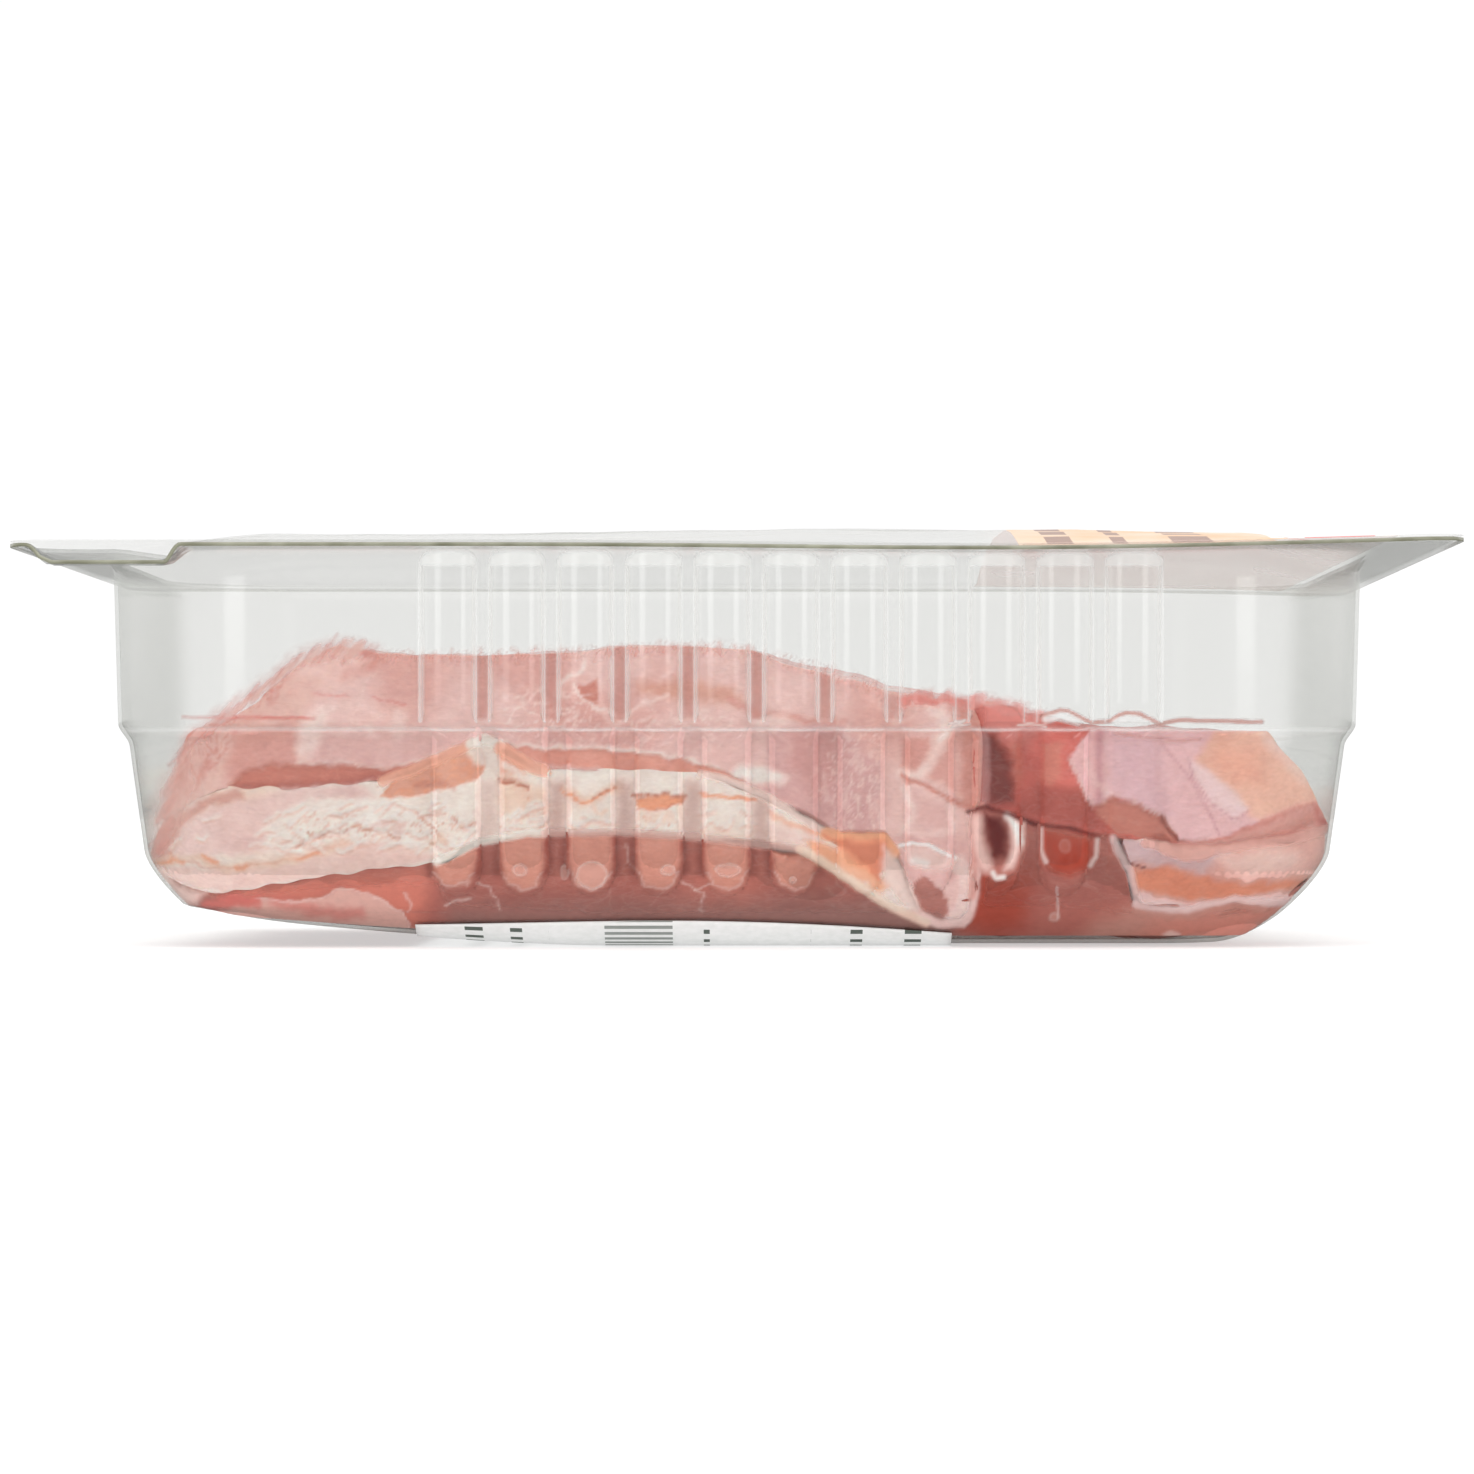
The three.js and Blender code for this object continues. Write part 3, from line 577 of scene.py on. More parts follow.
def clearPlastic(name):
    mat = newMaterial(name)
    gloss = mat.node_tree.nodes["Principled BSDF"]
    setInputs(gloss, Base_Color=(0.9, 0.91, 0.9, 1), Roughness=plastic["roughness"], IOR=1.5)
    mirror = addNode(mat, "ShaderNodeBsdfAnisotropic", Color=(1, 1, 1, 1), Roughness=plastic["roughness"])
    clear = addNode(mat, "ShaderNodeBsdfTransparent")
    # steeply seen, more of the sheet is looked through
    facing = addNode(mat, "ShaderNodeLayerWeight", Blend=0.5)
    tone = rampNode(mat, facing, "Facing", [(0.55, plastic["tint"]), (1.0, plastic["steepTint"])])
    addBump(mat, noiseNode(mat, 60, 2).outputs["Fac"], 0.06, 0.0006, mirror, gloss)
    # the far side, with nothing dark before it, looks clearer
    far = addNode(mat, "ShaderNodeMapRange", From_Min=0.02, From_Max=0.05, To_Min=1.0,
                  To_Max=plastic["farGloss"])
    link(mat, axesNode(mat), "Y", far, "Value")
    near = far.outputs["Result"]
    join(mat, mixColour(mat, near, plastic["farTint"], tone.outputs["Color"]), clear, "Color")
    thin = mixShaders(mat, product(mat, glossFactor(mat, 0.4), near), clear, mirror)
    # a white surface mixed in along the bent edges, as a painted highlight
    edge = attributeNode(mat, "paintedEdgeHighlight")
    white = product(mat, edge.outputs["Fac"], plastic["edgeHighlightStrength"])
    setSurface(mat, mixShaders(mat, white, thin, gloss))
    return mat


def cutEdge():  # the cut sheet shows olive, as light runs along inside it
    mat = newMaterial("cutSheetEdge")
    shader = mat.node_tree.nodes["Principled BSDF"]
    tone = rampNode(mat, noiseNode(mat, 220, 2), "Fac",
                    [(0.3, linear(112, 112, 92)), (0.7, linear(150, 150, 132))])
    link(mat, tone, "Color", shader, "Base Color")
    setInputs(shader, Roughness=0.25)
    # away from the front the edge lets more light through
    back = addNode(mat, "ShaderNodeMapRange", From_Min=-0.066, From_Max=-0.04, To_Min=1.0, To_Max=0.22)
    link(mat, axesNode(mat), "Y", back, "Value")
    link(mat, back, "Result", shader, "Alpha")
    return mat


# ---------- the lid film
film = {"gap": 0.25, "thickness": 0.1, "rise": 3.3, "swell": 1.1, "swellAt": 20, "swellSpread": 42,
        "power": 2.4, "leftSlope": 1.6, "rightSlope": 2.1}
# the printed strip, in mm, with its rows and blocks per metre
header = {"left": 36.6, "split": 70.2, "right": 84.5, "bars": [(40.4, 43.8), (49.0, 50.9), (56.8, 62.0)],
          "rows": 71.0, "blocks": 96.0, "lean": 0.4, "ink": 0.94, "backing": 0.3}


def filmHeight(x, y):
    share = lambda inset: 1 - (1 - min(max(inset / tray["halfWidth"], 0), 1)) ** film["power"]
    swell = film["rise"] + film["swell"] * float(bell(x, film["swellAt"], film["swellSpread"]))
    flat = flange["under"] + tray["sheet"] + film["gap"] + float(rimWarp(x, y))
    slope = film["leftSlope"] if x < 0 else film["rightSlope"]
    dome = share(tray["halfWidth"] - abs(y)) * min(1, share(tray["halfLength"] - abs(x)) * slope)
    slack = noise.noise(Vector((x / 23, y / 9, 3.1))) * 0.35
    slack += noise.noise(Vector((x / 7, y / 30, 7.7))) * 0.12
    return flat + swell * dome + slack * min(dome * 2, 1)


def buildFilm():
    places = [p for k, p in enumerate(outlinePlaces()) if "rib" not in p or k % 3 == 0]
    rings = []
    for share in [0, 0.3, 0.6, 1]:
        ring = []
        for place in places:
            edge, root = flangePoint(place), bodyPoint(place, 0, flange["under"])
            root = (root[0], -tray["halfWidth"]) if place.get("side") == -1 and "y" not in place else root
            ring.append(tuple(edge[k] + (root[k] - edge[k]) * share for k in (0, 1)))
        rings.append(ring)
    for inset in np.linspace(1.5, 57.5, 40):
        scaleX, scaleY = 1 - inset / tray["halfLength"], 1 - inset / tray["halfWidth"]
        rings.append([(x * scaleX, y * scaleY) for x, y in rings[3]])
    rings.append([(x * 0.3, 0) for x, y in rings[3]])
    sheet = [[(x, y, filmHeight(x, y) + liftOfLabel) for x, y in ring] for ring in rings]
    piece = ringSheet("lid_film_skin", sheet)
    faceLowest(piece, upwards=True)
    piece.data.materials.append(printedFilm())
    piece.data.materials.append(filmUnderside())
    applied(piece, "SOLIDIFY", thickness=film["thickness"] * mm, offset=1)
    for face in piece.data.polygons:
        face.material_index = 1 if face.normal.z < 0 else 0
    return finished(piece, "lid_film", "lid_film")


def filmUnderside():  # from below the print's white backing shows, faintly tinted
    mat = newMaterial("filmUnderside")
    backing = mat.node_tree.nodes["Principled BSDF"]
    tone = rampNode(mat, noiseNode(mat, 70, 2), "Fac",
                    [(0.35, linear(222, 190, 176)), (0.7, linear(240, 220, 210))])
    link(mat, tone, "Color", backing, "Base Color")
    setInputs(backing, Roughness=0.5)
    clear = addNode(mat, "ShaderNodeBsdfTransparent", Color=(*plastic["farTint"], 1))
    printed = inBands(mat, axesNode(mat).outputs["X"], (header["left"], header["right"]))
    setSurface(mat, mixShaders(mat, product(mat, printed, header["backing"]), clear, backing))
    return mat


def printedFilm():
    mat = newMaterial("printedFilm")
    ink = mat.node_tree.nodes["Principled BSDF"]
    axes = axesNode(mat)
    x, y = axes.outputs["X"], axes.outputs["Y"]
    left, split, right = header["left"], header["split"], header["right"]
    field, white = inBands(mat, x, (left, split)), inBands(mat, x, (split, right))
    # the orange field's grain, and blocks of plain bars where a pack has its words
    orange = rampNode(mat, noiseNode(mat, 90, 3), "Fac",
                      [(0.35, linear(230, 184, 138)), (0.65, linear(234, 206, 178))])
    colour = mixColour(mat, white, orange.outputs["Color"], linear(238, 232, 228))
    bars = product(mat, inBands(mat, x, *header["bars"]), inStripes(mat, y, header["rows"], 0.72))
    colour = mixColour(mat, bars, colour, linear(150, 108, 88))
    # leaning red blocks on the white strip
    leaning = mathNode(mat, "ADD", y, product(mat, x, header["lean"]))
    red = product(mat, inBands(mat, x, (split + 2.2, right - 2.4)),
                  inStripes(mat, leaning, header["blocks"], 0.55))
    join(mat, mixColour(mat, red, colour, linear(232, 120, 120)), ink, "Base Color")
    setInputs(ink, Roughness=0.35)
    mirror = addNode(mat, "ShaderNodeBsdfAnisotropic", Color=(1, 1, 1, 1), Roughness=0.12)
    clear = addNode(mat, "ShaderNodeBsdfTransparent", Color=(*plastic["filmTint"], 1))
    addBump(mat, noiseNode(mat, 70, 4).outputs["Fac"], 0.25, 0.0008, ink, mirror)
    thin = mixShaders(mat, glossFactor(mat, 0.2), clear, mirror)
    fromAbove = mathNode(mat, "SUBTRACT", 1.0, addNode(mat, "ShaderNodeNewGeometry").outputs["Backfacing"])
    printed = product(mat, mathNode(mat, "ADD", field, white), header["ink"], fromAbove)
    setSurface(mat, mixShaders(mat, printed, thin, ink))
    return mat


# ---------- the label under the base
label = {"left": -42.5, "right": 28.4, "back": 26, "gap": 0.1, "thickness": 0.2, "edgeInset": 11.7,
         "bow": 0.0017, "bowAt": -10,
         "rows": [(-36, -33.6), (-30, -28.4), (-26.4, -24.9), (-5, -3.6), (8.2, 9.8), (15, 16.6),
                  (19.2, 24.4)]}


def buildLabel():
    columns, wrapped, flat = 60, 14, 24
    piece, u, v = gridPiece("base_label_paper", columns, wrapped + flat)
    v = v * (wrapped + flat)
    x = label["left"] + u * (label["right"] - label["left"])
    edge = label["edgeInset"] + label["bow"] * (x - label["bowAt"]) ** 2
    inset = edge + (tray["footInset"] - edge) * np.minimum(v / wrapped, 1)
    frontLine = -(tray["halfWidth"] - tray["footInset"])
    y = np.where(v <= wrapped, -(tray["halfWidth"] - inset),
                 frontLine + (label["back"] - frontLine) * (v - wrapped) / flat)
    curve = np.array([footCurve(t) for t in np.linspace(0, 1, 60)])
    z = np.where(v <= wrapped, np.interp(inset, curve[:, 0], curve[:, 1]), 0)
    low = np.clip(z / 4, 0, 1)
    height = z + baseLift(x, z) - label["gap"] * (1 - low) + liftOfLabel
    setPoints(piece, np.column_stack([x, y - label["gap"] * low, height]))
    faceLowest(piece, upwards=False)
    piece.data.materials.append(labelPaper())
    applied(piece, "SOLIDIFY", thickness=label["thickness"] * mm, offset=1)
    return finished(piece, "label_paper", "base_label")


def labelPaper():
    mat = newMaterial("labelPaper")
    shader = mat.node_tree.nodes["Principled BSDF"]
    axes = axesNode(mat)
    x, y = axes.outputs["X"], axes.outputs["Y"]
    paper = rampNode(mat, noiseNode(mat, 900, 2), "Fac",
                     [(0.3, linear(240, 241, 239)), (0.7, linear(249, 249, 248))])
    # short printed rows and a block of stripes, all plain
    cell = addNode(mat, "ShaderNodeTexVoronoi", Scale=1.0, Randomness=1.0)
    cell.voronoi_dimensions = "1D"
    join(mat, product(mat, x, 140.0), cell, "W")
    broken = mathNode(mat, "GREATER_THAN", cell.outputs["Distance"], 0.22)
    rows = product(mat, broken, inStripes(mat, y, 420.0, 0.4), inBands(mat, y, (-46, 12)),
                   inBands(mat, x, *label["rows"]))
    block = product(mat, inBands(mat, x, (-17.5, -8.5)), inBands(mat, y, (-60, -20)),
                    inStripes(mat, y, 760.0, 0.5), 0.75)
    ink = mathNode(mat, "MAXIMUM", rows, block)
    join(mat, mixColour(mat, ink, paper.outputs["Color"], linear(96, 106, 98)), shader, "Base Color")
    setInputs(shader, Roughness=0.55)
    return mat


# ---------- the cutlets
# Seams and edges on the front wall as the photograph shows them, in its pixels
photo = {"middle": 737.0, "eyeRow": 805.0, "perMm": 7.69}


def onWall(marks):
    marks = np.array(marks, float)
    return np.column_stack([(marks[:, 0] - photo["middle"]) / photo["perMm"],
                            camera["height"] + (photo["eyeRow"] - marks[:, 1]) / photo["perMm"]])


topOfA = [(170, 800), (179, 768), (191, 736), (236, 707), (274, 679), (303, 656), (341, 645), (376, 653),
    (476, 656), (572, 653), (623, 647), (687, 647), (748, 650), (795, 663), (846, 675), (886, 691),
    (960, 700), (987, 705)]
underA = [(150, 842), (160, 822), (188, 805), (220, 788), (295, 788), (353, 784), (390, 777), (410, 768),
    (455, 750), (479, 741), (496, 742), (515, 752), (532, 765), (560, 769), (650, 771), (694, 773),
    (725, 778), (767, 797), (799, 816), (834, 835), (885, 839), (899, 859), (910, 886), (924, 917),
    (940, 924), (963, 924), (971, 916), (975, 896), (977, 865), (984, 812), (987, 806)]
underB = [(150, 868), (165, 880), (179, 887), (220, 892), (274, 883), (319, 876), (383, 867), (437, 863),
    (480, 843), (528, 834), (617, 833), (684, 837), (740, 843), (800, 850), (822, 862), (840, 874),
    (860, 888), (888, 906), (926, 924), (945, 926)]
underD = [(980, 806), (987, 808), (1026, 820), (1041, 825), (1074, 831), (1095, 836), (1112, 834),
    (1146, 840), (1172, 846), (1216, 848), (1255, 841), (1286, 838), (1310, 832), (1325, 828)]
topOfD = [(987, 700), (1008, 706), (1024, 717), (1043, 718), (1084, 729), (1264, 731), (1281, 747),
    (1296, 760), (1309, 773), (1318, 790), (1325, 812)]
underF = [(1112, 836), (1118, 853), (1129, 872), (1136, 906), (1159, 912), (1188, 913), (1207, 907),
    (1236, 901), (1264, 905), (1287, 904), (1300, 893), (1318, 880), (1325, 872)]
topOfC = underB + [(955, 926), (966, 922), (975, 902), (979, 866), (987, 811)] + underD[2:6] + underF

palette = {
    "paleLean": (229, 191, 186), "rose": (214, 152, 142), "veil": (243, 216, 210), "shadowBand": (204, 128, 113),
    "deepShade": (170, 98, 88), "cream": (252, 232, 224), "fatWhite": (253, 237, 231), "creaseShade": (226, 164, 140),
    "peachFat": (249, 213, 195), "orangeFat": (248, 170, 134), "rust": (208, 122, 94),
    "lilacFat": (241, 206, 201), "palePink": (247, 211, 203), "mauve": (208, 158, 156),
    "deepMauve": (200, 140, 134), "smearSkin": (226, 187, 178), "smearRed": (206, 132, 122),
    "blushSkin": (220, 164, 152), "tanLean": (212, 150, 128), "lilacLean": (220, 174, 170),
    "leanBand": (224, 158, 143), "orangePink": (234, 172, 150), "rustFat": (216, 132, 104),
    "base": (176, 104, 94), "baseWarm": (212, 126, 110), "baseGrey": (150, 110, 104),
    "finger": (220, 152, 134), "fingerSideShade": (148, 72, 62), "flapSkin": (222, 174, 164),
    "redStreak": (210, 116, 108), "brownRed": (168, 72, 56), "mauveBrown": (192, 138, 126),
    "lean": (202, 102, 92), "leanTop": (218, 136, 128), "leanBright": (224, 118, 108),
    "leanDeep": (178, 88, 78), "shadow": (136, 60, 54), "membrane": (236, 191, 193),
    "lilacSkin": (222, 182, 191), "blushMembrane": (243, 186, 186), "foldRose": (196, 134, 142),
    "blush": (251, 189, 169), "innerPink": (246, 216, 216), "tanFlap": (204, 129, 114),
    "fPink": (226, 172, 162), "fOrange": (230, 146, 117), "coolLilac": (206, 176, 180),
    "coolWhite": (222, 192, 190), "spotBrown": (178, 112, 102), "contact": (204, 140, 130),
    "gapGrey": (206, 168, 160), "blood": (96, 8, 6), "bloodRed": (170, 58, 48),
    "bloodOrange": (172, 56, 34), "paintedSheen": (244, 212, 205), "juicePink": (190, 118, 108),
    "juiceLine": (196, 140, 130), "bubble": (226, 180, 168), "glint": (255, 250, 247),
}


def colourOf(name):
    return np.array(linear(*palette[name]))


# Distance from each place to a line of marks, in the unit that both have
def farFrom(place, marks):
    best = np.full(len(place), 1e9)
    for a, b in zip(marks[:-1], marks[1:]):
        run = b - a
        t = np.clip(((place - a) @ run) / max(run @ run, 1e-9), 0, 1)
        best = np.minimum(best, np.hypot(*(place - a - t[:, None] * run).T))
    return best


def inside(place, marks):
    x, z = place.T
    hit = np.zeros(len(place), bool)
    for (x0, z0), (x1, z1) in zip(marks, np.roll(marks, -1, 0)):
        crosses = (z0 > z) != (z1 > z)
        hit ^= crosses & (x < (x1 - x0) * (z - z0) / ((z1 - z0) or 1e-9) + x0)
    return hit


# Smooth random waves of about one size in mm or pixels, near -1 to 1
def waves(place, size, seed, count=14):
    chance = np.random.default_rng(seed)
    total = np.zeros(len(place))
    for _ in range(count):
        way = chance.normal(size=place.shape[1])
        way *= chance.uniform(0.55, 1.5) * 2 * math.pi / size / np.linalg.norm(way)
        total += np.sin(place @ way + chance.uniform(0, 2 * math.pi))
    return total / math.sqrt(count)


def veinMask(place, veins, seed):  # thin branching lines, drawn out along an angle
    size, stretch, angle, width = veins
    turn = math.radians(angle)
    along = place @ np.array([math.cos(turn), math.sin(turn)]) / stretch
    across = place @ np.array([-math.sin(turn), math.cos(turn)])
    warped = np.column_stack([along, across]) + waves(place, size * 1.6, seed + 1)[:, None] * size * 0.22
    return np.maximum(1 - abs(waves(warped, size, seed)) / width, 0)


def patch(colour, soft, amount, at, **more):
    return {"colour": colour, "soft": soft, "amount": amount, "at": np.reshape(at, (-1, 2)), **more}


def stroke(colour, width, soft, amount, at, **more):
    return patch(colour, soft, amount, at, width=width, **more)


def patches(colour, soft, amount, shapes, **more):
    return [patch(colour, soft, amount, at, **more) for at in shapes]


def strokes(colour, width, soft, amount, lines, **more):
    return [stroke(colour, width, soft, amount, at, **more) for at in lines]


# How strongly a painted mark covers each place: a filled patch, or a stroke of a width in pixels
def cover(place, wavy, mark, seed):
    marks, soft, ragged = mark["at"].astype(float), mark["soft"] * 1.4 + 0.6, mark.get("ragged", 1.4)
    reach = soft * 2 + mark.get("width", 0) + ragged * 2 + 2
    near = ((place > marks.min(0) - reach) & (place < marks.max(0) + reach)).all(1)
    amount = np.zeros(len(place))
    at = place[near] + wavy[near] * ragged
    if not len(at):
        return amount
    if "width" in mark:
        half = mark["width"] / 2
        covered = 1 - rise(farFrom(at, marks), half - soft / 2, half + soft)
    else:
        edge = farFrom(at, np.vstack([marks, marks[:1]]))
        covered = smooth01(0.5 + np.where(inside(at, marks), edge, -edge) / (2 * soft))
    if "veins" in mark:
        covered = covered * veinMask(at, mark["veins"], seed)
    amount[near] = covered * mark["amount"]
    return amount


def folds(left, top, right, low, count, lean, seed):  # ropes of fat, each with an orange-brown crease line below, partly painted shade
    chance = np.random.default_rng(seed)
    ropes = []
    for _ in range(count):
        x, y = chance.uniform(left, right), chance.uniform(top, low)
        angle = math.radians(lean + chance.normal() * 26)
        reach, sag = chance.uniform(5, 12), chance.normal() * 3
        line = [(x + t * reach * math.cos(angle), y - t * reach * math.sin(angle) + (1 - t * t) * sag)
                for t in (-1, -0.4, 0.3, 1)]
        below = [(px, py + 2.5) for px, py in line]
        ropes.append(stroke("creaseShade", 1.5, 1.2, 0.55, below, ragged=0.5, depth=0.3))
        ropes.append(stroke("fatWhite", 2.6, 1.5, 0.8, line, ragged=0.5))
    return ropes


cutlets = {
    "cutlet_base": {
        "slot": "pork_lean", "lean": "base", "blotch": "baseWarm", "top": topOfC, "under": None,
        "outline": False, "marbling": 0.3, "rim": 0.8, "gain": 1.02},
    "cutlet_middle_left": {
        "slot": "pork_fat_edge", "lean": "cream", "blotch": "peachFat", "top": underA, "under": underB,
        "outline": False, "marbling": 0.3, "rim": 1.0, "gain": 1.0},
    "cutlet_top_left": {
        "slot": "pork_marbled", "lean": "paleLean", "blotch": "rose", "top": topOfA, "under": underA,
        "outline": True, "marbling": 0.75, "rim": 0.9, "gain": 1.12},
    "cutlet_middle_right": {
        "slot": "pork_fat_edge", "lean": "fPink", "blotch": "rose", "top": underD, "under": underF,
        "outline": False, "marbling": 0.3, "rim": 0.9, "gain": 1.12},
    "cutlet_top_right": {
        "slot": "pork_membrane", "lean": "lean", "blotch": "leanDeep", "top": topOfD, "under": underD,
        "outline": True, "marbling": 0.35, "rim": 0.85, "gain": 1.06, "reachesLeft": 3.5},
}
seeds = {"marks": 50, "foot": 699, "smearsAndPaintedLight": 700}
brightest = 0.93  # no painted channel is lighter than this
meat = {"voxel": 0.9, "fineWithin": 3.2, "fineBefore": -20, "fineAbove": 1.5, "openTone": 0.2}
ribPixels = {"high": 476.8, "highPitch": 68.6, "low": 455.3, "lowPitch": 67.9}

